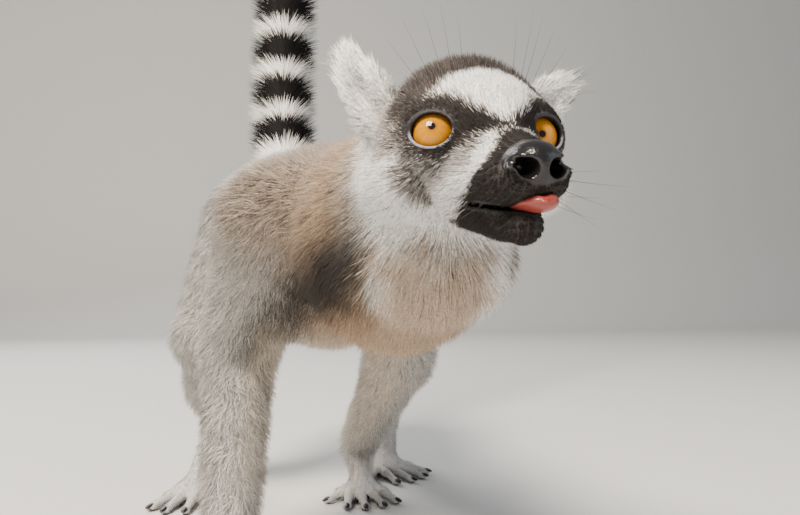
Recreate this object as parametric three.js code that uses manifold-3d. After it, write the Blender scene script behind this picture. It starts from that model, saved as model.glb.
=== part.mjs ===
// A ring-tailed lemur (Lemur catta), life size, standing on all fours with its head stretched forward, its
// tongue tip out and its tail raised. Millimetres, +Z up, the animal facing -Y, its left side towards +X, the
// floor at Z 0.
//
// The animal is written as rounded forms (tapering bones and ellipsoids, coat included) that run into each
// other. Each named part is the whole smooth surface near its own forms, parted from its neighbours by a thin
// gap along the surface that lies equally far from both.
import * as THREE from "three";
import { mergeVertices } from "three/addons/utils/BufferGeometryUtils.js";
import Module from "manifold-3d";

// ---- Driving dimensions ------------------------------------------------------------------------
const GAP = 0.9; // free space left between two small parts
const WIDE_GAP = 2; // between two large ones
const JOINT_GAP = 3; // and between a limb and the trunk
const FILLET_REACH = 14; // how far a fillet may carry a part's surface outside its own form
const FLOOR_SINK = 1.2; // how far pads are pressed flat against the floor

const EYE_RADIUS = 8.7;
const EYE_SPACING = 33; // between the centres of the two eyeballs
const EYE_TURN = 0.36; // how far each eye looks outwards, in radians
const EYE_LIFT = 0.18; // and how far up
const LID_OPENING = 6.9; // radius of the opening between the lids, halfway through them
const LID_FLARE = 1.5; // how much wider it gets outwards and narrower inwards
const EYE_SIDES = 10;
const EYE_RINGS = 7;

// Each ear's root in the head's frame (X outwards), how far it leans outwards and how far back, in radians.
// The right ear is pricked and the left one laid lower.
const EAR = {
  right: { root: [31, -28, 13], lean: 0.62, back: 0.1 },
  left: { root: [32, -26, 12], lean: 0.95, back: 0.1 },
};
const EAR_TURN = 0.45; // how far its cup faces outwards, in radians
const EAR_SIZE = [11.5, 6.5, 21]; // half its width, thickness and length, coat included
const EAR_RISE = 4; // its middle above its root
const CUP_SIZE = [8, 7, 15];
const CUP_AT = [0, 7, 7];
const EAR_SIDES = 10;
const CUP_SIDES = 8;

const TAIL_ROOT_RADIUS = 17;
const TAIL_RADIUS = 26; // with its coat
const TAIL_SWELL = 0.12; // the share of its length over which it swells from the one to the other
const TAIL_END = 0.06; // and the share over which it is rounded off
const TAIL_LENGTHS = 5; // nodes that the tail is divided into
const TAIL_SIDES = 12;
const TAIL_RINGS = 5; // rings in each of those lengths

const DIGIT_SIDES = 5;
const DIGIT_RINGS = 2;
const FINGER = { length: 27, base: 4.6, tip: 3.3 };
const TOE = { length: 31, base: 4.8, tip: 3.5 };
const TIP_SHARE = 0.6; // radius of a digit's blunt end as a share of its tip's
const THUMB_SHARE = 0.72; // the thumb's length as a share of the fingers'
const OUTER_SHARE = 0.86; // and the outermost fingers' as a share of the middle ones'
const FAN = 0.24; // the angle between one digit and the next
const ROOT_SPACING = 6.2; // between the roots of two digits
const THUMB_TURN = 1.15; // how far the thumb turns inwards, in radians
const THUMB_ROOT = [8, 4]; // how far inwards and back of the knuckles its root is

// Where the head sits: the point midway between the eyes, and the directions of its left side and nose.
const HEAD_AT = [20.8, -194.4, 192.9];
const HEAD_LEFT = [0.997, -0.066, 0.04];
const HEAD_NOSE = [-0.06, -0.988, -0.143];

// The joints of the skeleton in this stance. The right arm reaches forward and the left one trails.
const joint = {
  loin: [0, 62, 187],
  rump: [0, 128, 208],
  tailRoot: [0, 158, 226],
  chest: [0, -34, 171],
  ribs: [0, 22, 180],
  neckBase: [2, -80, 184],
  nape: [14, -150, 187],
  ruff: [17, -114, 160],
  throat: [21, -142, 161],
  right: {
    shoulder: [-32, -70, 178], elbow: [-47, -28, 116], wrist: [-52, -66, 29], knuckles: [-54, -88, 7],
    hip: [-31, 124, 196], knee: [-64, 83, 117], ankle: [-53, 150, 40], heel: [-47, 166, 27],
    ball: [-70, 106, 7.5],
  },
  left: {
    shoulder: [34, -52, 174], elbow: [52, 6, 106], wrist: [43, 84, 37], knuckles: [45, 77, 7],
    hip: [31, 124, 196], knee: [66, 84, 119], ankle: [84, 164, 40], heel: [82, 177, 30],
    ball: [78, 133, 7.5],
  },
};

const tailPath = [
  [0, 146, 218], [0, 168, 236], [0, 184, 258], [-1, 197, 300], [0, 205, 380],
  [2, 212, 480], [4, 222, 580], [6, 240, 670], [8, 275, 740], [10, 318, 776],
];

// Where the group's origin stands, so that the animal's box is centred on it and its feet are on the floor.
const STAND = [-5.45, -42.44, 0];

// ---- Distance fields ---------------------------------------------------------------------------
// A field gives a point's distance to a form's surface, negative inside it.
const vec = (a) => new THREE.Vector3(...a);
const clamp = THREE.MathUtils.clamp;
const lerp = THREE.MathUtils.lerp;

/** A tapering round form from a to b, of radius ra at a and rb at b. */
function bone(a, b, ra, rb) {
  const start = vec(a);
  const axis = vec(b).sub(start);
  const along = new THREE.Vector3();
  const field = (p) => {
    const t = clamp(along.copy(p).sub(start).dot(axis) / axis.lengthSq(), 0, 1);
    return along.addScaledVector(axis, -t).length() - lerp(ra, rb, t);
  };
  field.box = new THREE.Box3().union(boxOf(a, ra)).union(boxOf(b, rb));
  return field;
}

/** An ellipsoid with its three radii along X, Y and Z. */
function ball(centre, radii) {
  const c = vec(centre);
  const r = vec(radii);
  const r2 = r.clone().multiply(r);
  const q = new THREE.Vector3();
  const field = (p) => {
    q.copy(p).sub(c);
    const steep = q.clone().divide(r2).length();
    const k = q.divide(r).length();
    return steep < 1e-9 ? -Math.min(...radii) : (k * (k - 1)) / steep;
  };
  field.box = new THREE.Box3(c.clone().sub(r), c.clone().add(r));
  return field;
}

/** The box round a ball of radius r at a. */
function boxOf(a, r) {
  return new THREE.Box3().setFromCenterAndSize(vec(a), new THREE.Vector3(2 * r, 2 * r, 2 * r));
}

/** The forms run together, with a fillet about k wide where they meet. */
function blend(k, ...fields) {
  const field = (p) =>
    fields.reduce((d, f) => {
      const e = f(p);
      const h = Math.max(k - Math.abs(d - e), 0) / k;
      return Math.min(d, e) - (h * h * k) / 4;
    }, Infinity);
  field.box = fields.reduce((box, f) => box.union(f.box), new THREE.Box3());
  return field;
}

/** The form carried to a place by a matrix. */
function placed(matrix, form) {
  const back = matrix.clone().invert();
  const q = new THREE.Vector3();
  const field = (p) => form(q.copy(p).applyMatrix4(back));
  field.box = form.box.clone().applyMatrix4(matrix);
  return field;
}

/** How far a point lies outside a box, negative inside it. */
function boxDistance(box, p) {
  const { min, max } = box;
  return Math.max(min.x - p.x, p.x - max.x, min.y - p.y, p.y - max.y, min.z - p.z, p.z - max.z);
}

const UP = new THREE.Vector3(0, 0, 1);
const turnX = (angle) => new THREE.Matrix4().makeRotationX(angle);
const turnZ = (angle) => new THREE.Matrix4().makeRotationZ(angle);
const shift = (x, y, z) => new THREE.Matrix4().makeTranslation(x, y, z);

/** Both halves of a form that the head has on its left and right. */
const paired = (k, make) => blend(k, make(1), make(-1));

// ---- From a field to a solid -------------------------------------------------------------------
const wasm = await Module();
wasm.setup();

/** A closed geometry as a solid that can be joined and cut. */
function solid(geometry) {
  const bare = geometry.clone();
  for (const name of Object.keys(bare.attributes)) {
    if (name !== "position") bare.deleteAttribute(name);
  }
  const merged = mergeVertices(bare, 1e-4);
  return new wasm.Manifold(
    new wasm.Mesh({
      numProp: 3,
      vertProperties: merged.attributes.position.array,
      triVerts: new Uint32Array(merged.index.array),
    }),
  );
}

/** The largest of a solid's bodies, without the crumbs that a cut may leave. */
function largest(made) {
  return made.decompose().reduce((best, one) => (one.volume() > best.volume() ? one : best));
}

/** The slope of a field at a point. */
function slopeOf(field, p, h) {
  const along = (axis) => {
    const ahead = p.clone();
    const behind = p.clone();
    ahead[axis] += h;
    behind[axis] -= h;
    return (field(ahead) - field(behind)) / (2 * h);
  };
  return new THREE.Vector3(along("x"), along("y"), along("z"));
}

/** The point moved on to the surfaces of one or two fields, by no more than most of a grid step. */
function settle(fields, start, step) {
  const p = start.clone();
  for (let round = 0; round < 4; round++) {
    const [a, b] = fields.map((field) => slopeOf(field, p, step * 0.05));
    const da = -fields[0](p);
    if (!b) {
      p.addScaledVector(a, da / Math.max(a.lengthSq(), 0.25));
      continue;
    }
    // the shortest move that brings both fields to zero
    const db = -fields[1](p);
    const [aa, ab, bb] = [a.dot(a), a.dot(b), b.dot(b)];
    const det = Math.max(aa * bb - ab * ab, 0.05);
    p.addScaledVector(a, (da * bb - db * ab) / det).addScaledVector(b, (db * aa - da * ab) / det);
  }
  return start.clone().add(p.sub(start).clampLength(0, step * 0.6));
}

/**
 * The closed surface of what lies inside both of two fields, within a box, by surface nets: a grid cell that
 * the surface crosses gets one vertex, moved on to the surface, or on to the crease where the two fields
 * meet, and each grid edge that the surface crosses gets one quad between the four cells round it. step is
 * the grid's spacing along X, Y and Z.
 */
function surfaceOf(shape, box, step, cut = () => -Infinity) {
  const cell = vec(step);
  const reach = Math.max(...step);
  const low = box.min.clone().divide(cell).floor().subScalar(1);
  const count = box.max.clone().divide(cell).ceil().addScalar(2).sub(low);
  const [nx, ny, nz] = count.toArray();
  const slot = (i, j, k) => i + nx * (j + ny * k);
  const shapeAt = new Float32Array(nx * ny * nz);
  const cutAt = new Float32Array(nx * ny * nz);
  for (let k = 0; k < nz; k++)
    for (let j = 0; j < ny; j++)
      for (let i = 0; i < nx; i++) {
        const p = new THREE.Vector3(i, j, k).add(low).multiply(cell);
        shapeAt[slot(i, j, k)] = shape(p);
        cutAt[slot(i, j, k)] = cut(p);
      }
  const valueAt = shapeAt.map((v, n) => Math.max(v, cutAt[n]));

  const corners = [0, 1, 2, 3, 4, 5, 6, 7].map((c) => [c & 1, (c >> 1) & 1, c >> 2]);
  const edges = corners.flatMap((a, i) =>
    corners.slice(i + 1).filter((b) => a.filter((v, n) => v !== b[n]).length === 1).map((b) => [a, b]),
  );
  const vertexOf = new Map();
  const positions = [];
  for (let k = 0; k < nz - 1; k++)
    for (let j = 0; j < ny - 1; j++)
      for (let i = 0; i < nx - 1; i++) {
        const sum = new THREE.Vector3();
        let crossings = 0;
        let onCut = 0;
        for (const [a, b] of edges) {
          const na = slot(i + a[0], j + a[1], k + a[2]);
          const nb = slot(i + b[0], j + b[1], k + b[2]);
          const [va, vb] = [valueAt[na], valueAt[nb]];
          if (va < 0 === vb < 0) continue;
          const t = va / (va - vb);
          sum.add(vec(a).lerp(vec(b), t));
          crossings++;
          if (lerp(cutAt[na], cutAt[nb], t) > lerp(shapeAt[na], shapeAt[nb], t)) onCut++;
        }
        if (!crossings) continue;
        const p = sum.divideScalar(crossings).add(new THREE.Vector3(i, j, k)).add(low).multiply(cell);
        const fields = onCut === 0 ? [shape] : onCut === crossings ? [cut] : [shape, cut];
        vertexOf.set(slot(i, j, k), positions.length / 3);
        positions.push(...settle(fields, p, reach).toArray());
      }

  const faces = [];
  const quad = (a, b, c, d, turned) => {
    const [p, q, r, s] = (turned ? [d, c, b, a] : [a, b, c, d]).map((cell) => vertexOf.get(cell));
    faces.push(p, q, r, p, r, s);
  };
  const [X, Y, Z] = [1, nx, nx * ny];
  for (let k = 1; k < nz - 1; k++)
    for (let j = 1; j < ny - 1; j++)
      for (let i = 1; i < nx - 1; i++) {
        const me = slot(i, j, k);
        const inside = valueAt[me] < 0;
        if (valueAt[me + X] < 0 !== inside) quad(me - Y - Z, me - Z, me, me - Y, !inside);
        if (valueAt[me + Y] < 0 !== inside) quad(me - X - Z, me - X, me, me - Z, !inside);
        if (valueAt[me + Z] < 0 !== inside) quad(me - X - Y, me - Y, me, me - X, !inside);
      }
  const geometry = new THREE.BufferGeometry();
  geometry.setAttribute("position", new THREE.Float32BufferAttribute(positions, 3));
  geometry.setIndex(faces);
  return geometry;
}

/** A round-sectioned solid along a curve, with a radius for each share of its length. */
function loft(curve, radiusAt, sides, rings, from = 0, to = 1) {
  const positions = [];
  const faces = [];
  let across = new THREE.Vector3(1, 0, 0);
  for (let ring = 0; ring <= rings; ring++) {
    const t = lerp(from, to, ring / rings);
    const tangent = curve.getTangentAt(t);
    across = across.addScaledVector(tangent, -across.dot(tangent)).normalize();
    const up = tangent.clone().cross(across);
    for (let side = 0; side < sides; side++) {
      const turn = (side / sides) * 2 * Math.PI;
      const p = curve.getPointAt(t);
      p.addScaledVector(across, radiusAt(t) * Math.cos(turn));
      p.addScaledVector(up, radiusAt(t) * Math.sin(turn));
      positions.push(...p.toArray());
      if (ring === rings) continue;
      const [a, b] = [ring * sides + side, ring * sides + ((side + 1) % sides)];
      faces.push(a, b, b + sides, a, b + sides, a + sides);
    }
  }
  const last = rings * sides;
  for (let side = 1; side < sides - 1; side++) {
    faces.push(0, side + 1, side, last, last + side, last + side + 1);
  }
  const geometry = new THREE.BufferGeometry();
  geometry.setAttribute("position", new THREE.Float32BufferAttribute(positions, 3));
  geometry.setIndex(faces);
  return geometry;
}

/** A box much larger than the animal, with its lowest face at a height. */
function above(height) {
  const size = 2000;
  return solid(new THREE.BoxGeometry(size, size, size).translate(0, 0, height + size / 2));
}

// ---- The forms of the body ---------------------------------------------------------------------
const trunkForm = blend(
  26,
  ball(joint.chest, [46, 62, 57]),
  ball(joint.ribs, [45, 64, 52]),
  bone(joint.loin, joint.rump, 47, 46),
  bone(joint.rump, joint.tailRoot, 44, 24),
);

/** The neck, with the deep ruff under the throat. */
const neckForm = blend(
  16,
  bone(joint.neckBase, joint.nape, 41, 33),
  ball(joint.ruff, [42, 36, 41]),
  ball(joint.throat, [34, 33, 30]),
);

/** Shoulder and upper arm. */
const upperArmForm = (j) => bone(j.shoulder, j.elbow, 30, 21);

/** Forearm, from the elbow to the wrist. */
const forearmForm = (j) => bone(j.elbow, j.wrist, 20, 14);

/** Haunch and thigh. */
const thighForm = (j) => bone(j.hip, j.knee, 40, 24);

/** Shank, with its calf behind it. */
function shankForm(j) {
  const calf = vec(j.knee).lerp(vec(j.ankle), 0.42).add(new THREE.Vector3(0, 4, 0));
  return blend(12, bone(j.knee, j.ankle, 21, 12), ball(calf.toArray(), [20.5, 20, 28]));
}

/** The palm, without its fingers. */
const palmForm = (j) => blend(6, bone(j.wrist, j.knuckles, 12, 8.5), ball(j.knuckles, [13, 9, 7.5]));

/** The sole and heel, without the toes. */
const soleForm = (j) =>
  blend(8, bone(j.heel, j.ankle, 10, 12), bone(j.ankle, j.ball, 12, 9), ball(j.ball, [15, 12, 8.5]));

// The head's forms are in its own frame: X to its right, Y to the nose, Z to the crown, from midway between
// the eyes.
const headFrame = (() => {
  const left = vec(HEAD_LEFT).normalize();
  const nose = vec(HEAD_NOSE);
  nose.addScaledVector(left, -nose.dot(left)).normalize();
  // left, nose and crown are left-handed in this order, so the frame's X runs to the animal's right
  const right = left.negate();
  return new THREE.Matrix4().makeBasis(right, nose, right.clone().cross(nose)).setPosition(vec(HEAD_AT));
})();

const craniumForm = blend(
  12,
  ball([0, -20, 3], [27, 31, 24]),
  ball([0, -3, 5], [19, 19, 14]),
  paired(8, (s) => ball([s * 16, -13, 4], [14, 19, 15])),
  paired(8, (s) => ball([s * 21, -18, -13], [17, 21, 17])),
  paired(4, (s) => ball([s * 15.5, -1, 0.5], [11.5, 11, 11.5])),
  bone([0, 4, -5], [0, 31.5, -11.5], 14, 10.3),
  paired(4, (s) => ball([s * 6.5, 30, -14.5], [7, 10.5, 6.5])),
);
const jawForm = bone([0, -8, -25], [0, 32, -27], 12, 6.8);
const tongueForm = blend(2, ball([0, 33, -21.2], [5.2, 10, 2.6]), ball([0, 41, -20.4], [6.3, 3.6, 2.8]));
const noseForm = blend(3, ball([0, 38.3, -10.2], [8.4, 7.6, 6.4]), ball([0, 38, -12.5], [6, 6.4, 4.6]));

const eyeAt = (s) => [(s * EYE_SPACING) / 2, 0, 0];

/** The frame of an eye, its Y along its gaze. */
const eyeTurned = (s) => shift(...eyeAt(s)).multiply(turnZ(-s * EYE_TURN)).multiply(turnX(EYE_LIFT));

/** Where an ear's root is and how the ear stands: its long way along Z, its cupped face towards Y. */
function earFrame(side) {
  const { root, lean, back } = EAR[side];
  const s = side === "left" ? -1 : 1;
  const stance = new THREE.Euler(back, s * lean, -s * EAR_TURN, "ZYX");
  return headFrame
    .clone()
    .multiply(shift(s * root[0], root[1], root[2]))
    .multiply(new THREE.Matrix4().makeRotationFromEuler(stance));
}

// ---- Parts -------------------------------------------------------------------------------------
const cube = (size) => [size, size, size];
const forms = {
  trunk: { form: trunkForm, step: [16.5, 22, 16.5] },
  neck: { form: neckForm, step: cube(13.6) },
  head: { form: placed(headFrame, craniumForm), step: cube(8.6) },
  jaw: { form: placed(headFrame, jawForm), step: cube(6.6) },
};
for (const [side, j] of [["left", joint.left], ["right", joint.right]]) {
  forms[`upper_arm_${side}`] = { form: upperArmForm(j), step: [12, 12, 16] };
  forms[`forearm_${side}`] = { form: forearmForm(j), step: [10, 10, 14] };
  forms[`hand_${side}`] = { form: palmForm(j), step: cube(9.4) };
  forms[`thigh_${side}`] = { form: thighForm(j), step: cube(14.2) };
  forms[`shank_${side}`] = { form: shankForm(j), step: [9.2, 9.2, 12.4] };
  forms[`foot_${side}`] = { form: soleForm(j), step: cube(9.2) };
}

/** A plane through a bent joint, square to the mean way of its two bones; positive beyond the joint. */
function planeAt(from, at, to) {
  const before = vec(at).sub(vec(from)).normalize();
  const after = vec(to).sub(vec(at)).normalize();
  const plane = new THREE.Plane().setFromNormalAndCoplanarPoint(before.add(after).normalize(), vec(at));
  return (p) => plane.distanceToPoint(p);
}

// Which parts run into each other, how wide the fillet between them is and how wide the gap that parts them.
// The bones of a limb are parted by a plane through their joint, the others by the surface equally far from
// both.
const meets = [
  ["trunk", "neck", 24, WIDE_GAP],
  ["neck", "head", 14, WIDE_GAP],
  ["neck", "jaw", 10, WIDE_GAP],
  ["head", "jaw", 5, GAP],
  ...[["left", joint.left], ["right", joint.right]].flatMap(([side, j]) => [
    ["trunk", `upper_arm_${side}`, 16, JOINT_GAP],
    ["neck", `upper_arm_${side}`, 14, JOINT_GAP],
    ["trunk", `thigh_${side}`, 20, JOINT_GAP],
    [`upper_arm_${side}`, `forearm_${side}`, 8, GAP, planeAt(j.shoulder, j.elbow, j.wrist)],
    [`forearm_${side}`, `hand_${side}`, 6, GAP, planeAt(j.elbow, j.wrist, j.knuckles)],
    [`thigh_${side}`, `shank_${side}`, 8, GAP, planeAt(j.hip, j.knee, j.ankle)],
    [`shank_${side}`, `foot_${side}`, 6, GAP, planeAt(j.knee, j.ankle, j.ball)],
  ]),
];

/**
 * The neighbours of a part: each one's form, the fillet between the two, and how far a point is beyond the
 * part's own side of the gap between them.
 */
function neighbours(name) {
  const own = forms[name].form;
  return meets
    .filter((m) => m.includes(name))
    .map(([a, b, fillet, gap, plane]) => {
      const form = forms[a === name ? b : a].form;
      const side = a === name ? 1 : -1;
      const beyond = plane ? (p) => side * plane(p) + gap / 2 : (p) => (own(p) - form(p) + gap) / 2;
      return { form, fillet, beyond };
    });
}

/** The smooth surface of a part's own form run together with its neighbours'. */
function surfaceNear(name) {
  const near = neighbours(name);
  return (p) =>
    near.reduce((d, other) => {
      const e = other.form(p);
      const h = Math.max(other.fillet - Math.abs(d - e), 0) / other.fillet;
      return Math.min(d, e) - (h * h * other.fillet) / 4;
    }, forms[name].form(p));
}

/** A part's solid: that surface, kept on the part's own side of each gap, all of it grown a little. */
function partOf(name, grown = 0) {
  const { form, step } = forms[name];
  const near = neighbours(name);
  const surface = surfaceNear(name);
  const share = (p) => Math.max(...near.map((other) => other.beyond(p))) - grown;
  const box = form.box.clone().expandByScalar(FILLET_REACH);
  return largest(solid(surfaceOf((p) => surface(p) - grown, box, step, share)));
}

/** A finger or toe: from its knuckle, over its middle joint, to its tip, its underside on the floor. */
function digit(root, heading, length, size) {
  const tip = vec(root).addScaledVector(heading, length).setZ(size.tip * TIP_SHARE - FLOOR_SINK / 2);
  const middle = vec(root).lerp(tip, 0.5).setZ(size.base - FLOOR_SINK);
  const start = vec(root).addScaledVector(heading, -size.base);
  const curve = new THREE.CatmullRomCurve3([start, vec(root), middle, tip]);
  const radiusAt = (t) => lerp(size.base, size.tip, t) * (t > 0.9 ? TIP_SHARE : 1);
  return solid(loft(curve, radiusAt, DIGIT_SIDES, DIGIT_RINGS));
}

/**
 * Four digits fanned from a palm or sole and the thumb or great toe, all pressed flat on the floor.
 * heading is the way the hand points, seen from above, in radians from +X.
 */
function withDigits(body, at, heading, size, inner) {
  let made = body;
  const across = new THREE.Vector3(-Math.sin(heading), Math.cos(heading), 0);
  for (const place of [-1.5, -0.5, 0.5, 1.5]) {
    const turn = heading + place * FAN;
    const root = vec(at).addScaledVector(across, place * ROOT_SPACING);
    const length = size.length * (Math.abs(place) > 1 ? OUTER_SHARE : 1);
    const away = new THREE.Vector3(Math.cos(turn), Math.sin(turn), 0);
    made = made.add(digit(root.toArray(), away, length, size));
  }
  const turn = heading + inner * THUMB_TURN;
  const [inwards, back] = THUMB_ROOT;
  const ahead = across.clone().cross(UP);
  const root = vec(at).addScaledVector(across, inner * inwards).addScaledVector(ahead, -back);
  const away = new THREE.Vector3(Math.cos(turn), Math.sin(turn), 0);
  made = made.add(digit(root.toArray(), away, size.length * THUMB_SHARE, size));
  return made.intersect(above(0));
}

const solids = {};
for (const name of Object.keys(forms)) solids[name] = partOf(name);
// the ruff keeps clear of the angle of the jaw
solids.neck = largest(solids.neck.subtract(partOf("jaw", GAP)));

solids.hand_right = withDigits(solids.hand_right, joint.right.knuckles, -1.62, FINGER, 1);
solids.hand_left = withDigits(solids.hand_left, joint.left.knuckles, -1.5, FINGER, -1);
solids.foot_right = withDigits(solids.foot_right, joint.right.ball, -1.95, TOE, 1);
solids.foot_left = withDigits(solids.foot_left, joint.left.ball, -0.95, TOE, -1);

/** A round ball, stretched by a vector and carried to a place. */
function spheroid(matrix, radii, around, down) {
  return solid(new THREE.SphereGeometry(1, around, down).scale(...radii).applyMatrix4(matrix));
}

// The nose pad and the tongue are let into seats of their own.
const letIn = [
  { name: "nose_pad", form: noseForm, step: 3.4, hosts: ["head"] },
  { name: "tongue", form: tongueForm, step: 3, hosts: ["head", "jaw"] },
];
for (const { name, form, step, hosts } of letIn) {
  const body = placed(headFrame, form);
  const box = body.box.clone().expandByScalar(step);
  solids[name] = solid(surfaceOf(body, box, cube(step)));
  const seat = solid(surfaceOf((p) => body(p) - GAP, box, cube(step)));
  for (const host of hosts) solids[host] = largest(solids[host].subtract(seat));
}

/** A cube of a part's own smooth surface, grown by a gap, for cutting a seat; step is its grid's spacing. */
function seatIn(name, gap, centre, size, step) {
  const surface = surfaceNear(name);
  const box = boxOf(centre, size / 2);
  const room = box.clone().expandByScalar(step);
  return solid(surfaceOf((p) => surface(p) - gap, room, cube(step), (p) => boxDistance(box, p)));
}

for (const [side, s] of [["left", -1], ["right", 1]]) {
  // the eyeball, its socket and the opening between the lids
  const eye = headFrame.clone().multiply(eyeTurned(s));
  const socket = EYE_RADIUS + GAP / 2;
  solids[`eye_${side}`] = spheroid(eye, cube(EYE_RADIUS), EYE_SIDES, EYE_RINGS);
  solids.head = solids.head.subtract(spheroid(eye, cube(socket), EYE_SIDES, EYE_RINGS));
  const [wide, narrow, deep] = [LID_OPENING + LID_FLARE, LID_OPENING - LID_FLARE, 2 * EYE_RADIUS];
  const opening = new THREE.CylinderGeometry(wide, narrow, deep, EYE_SIDES);
  solids.head = solids.head.subtract(solid(opening.translate(0, EYE_RADIUS * 1.25, 0).applyMatrix4(eye)));

  // the ear, its cup and its seat on the head
  const ear = earFrame(side);
  const outer = spheroid(ear.clone().multiply(shift(0, 0, EAR_RISE)), EAR_SIZE, EAR_SIDES, 8);
  const cup = spheroid(ear.clone().multiply(shift(...CUP_AT)), CUP_SIZE, CUP_SIDES, 6);
  const skull = seatIn("head", GAP, new THREE.Vector3().setFromMatrixPosition(ear).toArray(), 60, 7);
  solids[`ear_${side}`] = largest(outer.subtract(cup).subtract(skull));
}

// The tail, in lengths that meet face to face.
const tailCurve = new THREE.CatmullRomCurve3(tailPath.map(vec));
const tailRadius = (t) => {
  const swell = Math.min(t / TAIL_SWELL, 1);
  const tip = Math.max((t - 1 + TAIL_END) / TAIL_END, 0);
  const full = lerp(TAIL_ROOT_RADIUS, TAIL_RADIUS, swell * (2 - swell));
  return full * Math.sqrt(1 - tip * tip * 0.9);
};
for (let n = 0; n < TAIL_LENGTHS; n++) {
  const clear = GAP / 2 / tailCurve.getLength();
  const from = n / TAIL_LENGTHS + (n ? clear : 0);
  const to = (n + 1) / TAIL_LENGTHS - (n + 1 < TAIL_LENGTHS ? clear : 0);
  solids[`tail_${n + 1}`] = solid(loft(tailCurve, tailRadius, TAIL_SIDES, TAIL_RINGS, from, to));
}
// the root of the tail comes out of the rump
solids.tail_1 = largest(solids.tail_1.subtract(seatIn("trunk", WIDE_GAP, joint.tailRoot, 96, 12)));

// Colour and roughness of each kind of surface, and which parts have it. Every other part has the grey coat.
const LOOKS = {
  grey_coat: { color: "#94877b", roughness: 0.95 },
  white_coat: { color: "#ded8cc", roughness: 0.95, parts: [/^ear/, /^hand/, /^foot/, /^forearm/] },
  banded_coat: { color: "#4a4543", roughness: 0.95, parts: [/^tail/] },
  black_skin: { color: "#171416", roughness: 0.45, parts: [/^nose/] },
  wet_tongue: { color: "#d0605a", roughness: 0.35, parts: [/^tongue/] },
  amber_eye: { color: "#d98613", roughness: 0.1, parts: [/^eye/] },
};

/** The look of a named part. */
function lookOf(name) {
  const found = Object.values(LOOKS).find(({ parts = [] }) => parts.some((pattern) => pattern.test(name)));
  const { color, roughness } = found ?? LOOKS.grey_coat;
  return new THREE.MeshStandardMaterial({ color, roughness, metalness: 0 });
}

const group = new THREE.Group();
group.name = "ring_tailed_lemur";
group.position.set(...STAND);
for (const [name, made] of Object.entries(solids)) {
  const { vertProperties, triVerts } = made.getMesh();
  const geometry = new THREE.BufferGeometry();
  geometry.setAttribute("position", new THREE.BufferAttribute(vertProperties, 3));
  geometry.setIndex(new THREE.BufferAttribute(triVerts, 1));
  const mesh = new THREE.Mesh(geometry, lookOf(name));
  mesh.name = name;
  group.add(mesh);
}

export default group;
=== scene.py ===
import math

import bpy
import numpy as np
from mathutils import Matrix


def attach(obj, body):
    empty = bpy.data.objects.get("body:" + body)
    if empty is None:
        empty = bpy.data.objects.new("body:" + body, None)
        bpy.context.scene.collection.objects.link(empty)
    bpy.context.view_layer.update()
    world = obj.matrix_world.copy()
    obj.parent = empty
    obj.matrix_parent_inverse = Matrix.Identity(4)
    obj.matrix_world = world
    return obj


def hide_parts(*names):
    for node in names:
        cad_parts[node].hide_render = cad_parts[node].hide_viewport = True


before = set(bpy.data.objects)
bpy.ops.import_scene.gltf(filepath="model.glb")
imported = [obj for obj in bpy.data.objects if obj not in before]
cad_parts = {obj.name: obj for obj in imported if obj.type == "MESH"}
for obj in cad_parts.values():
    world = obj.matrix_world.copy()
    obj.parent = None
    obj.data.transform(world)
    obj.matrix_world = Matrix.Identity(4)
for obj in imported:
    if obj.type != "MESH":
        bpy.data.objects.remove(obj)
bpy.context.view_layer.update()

# A ring-tailed lemur, life size, on all fours. Every measure is in millimetres in the animal's own frame:
# +X to its left, -Y the way it faces, +Z up, the floor at 0. place() turns them into Blender's metres.
#
# The body is a list of rounded forms that run into each other. skin_field() gives any point's distance to
# the skin. The skin is the surface where it is zero, and every lock of the coat grows from a point of that
# surface.

MM = 0.001
STAND = np.array([-5.45, -42.44, 0.0])  # from the animal's frame to one whose origin is under its middle
SEED = 20260611

# The head's own frame: its origin midway between the eyes, X to the left, Y to the nose, Z to the crown.
HEAD_AT = np.array([20.8, -194.4, 192.9])
HEAD_LEFT = (0.997, -0.066, 0.040)
HEAD_NOSE = (-0.060, -0.988, -0.143)

EYE_RADIUS = 8.7
EYE_SPACING = 33.0
# How far outwards and how far up each eye looks, and its lids open, in radians. -1 is the right eye, 1 the
# left.
GAZE = {-1: (0.396, 0.332), 1: (-0.031, 0.112)}
LIDS = {-1: (0.43, 0.21), 1: (0.16, 0.15)}
OPENING = (6.6, 5.2)  # half the width and half the height of the opening between the lids
LID_RADIUS = 9.6  # from the middle of the eye to the outside of its lids
IRIS_RADIUS = 6.9
PUPIL_RADIUS = 1.1

FINE_STEP = 1.0  # spacing of the skin's points on the head
BODY_STEP = 3.0  # and on the body
NECK_CUT = -147.0  # the level of Y where the two meet
MIDLINE = 4.0  # the level of X that parts the body's right from its left
MOUTH_LEVEL, MOUTH_BOW = -22.4, 0.012  # height of the lips' line in the middle, and its bow up to each side
FIRST_RING, RING_EVERY = 62.5, 40.0  # where the tail's rings begin along it, and one black and white pair

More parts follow.
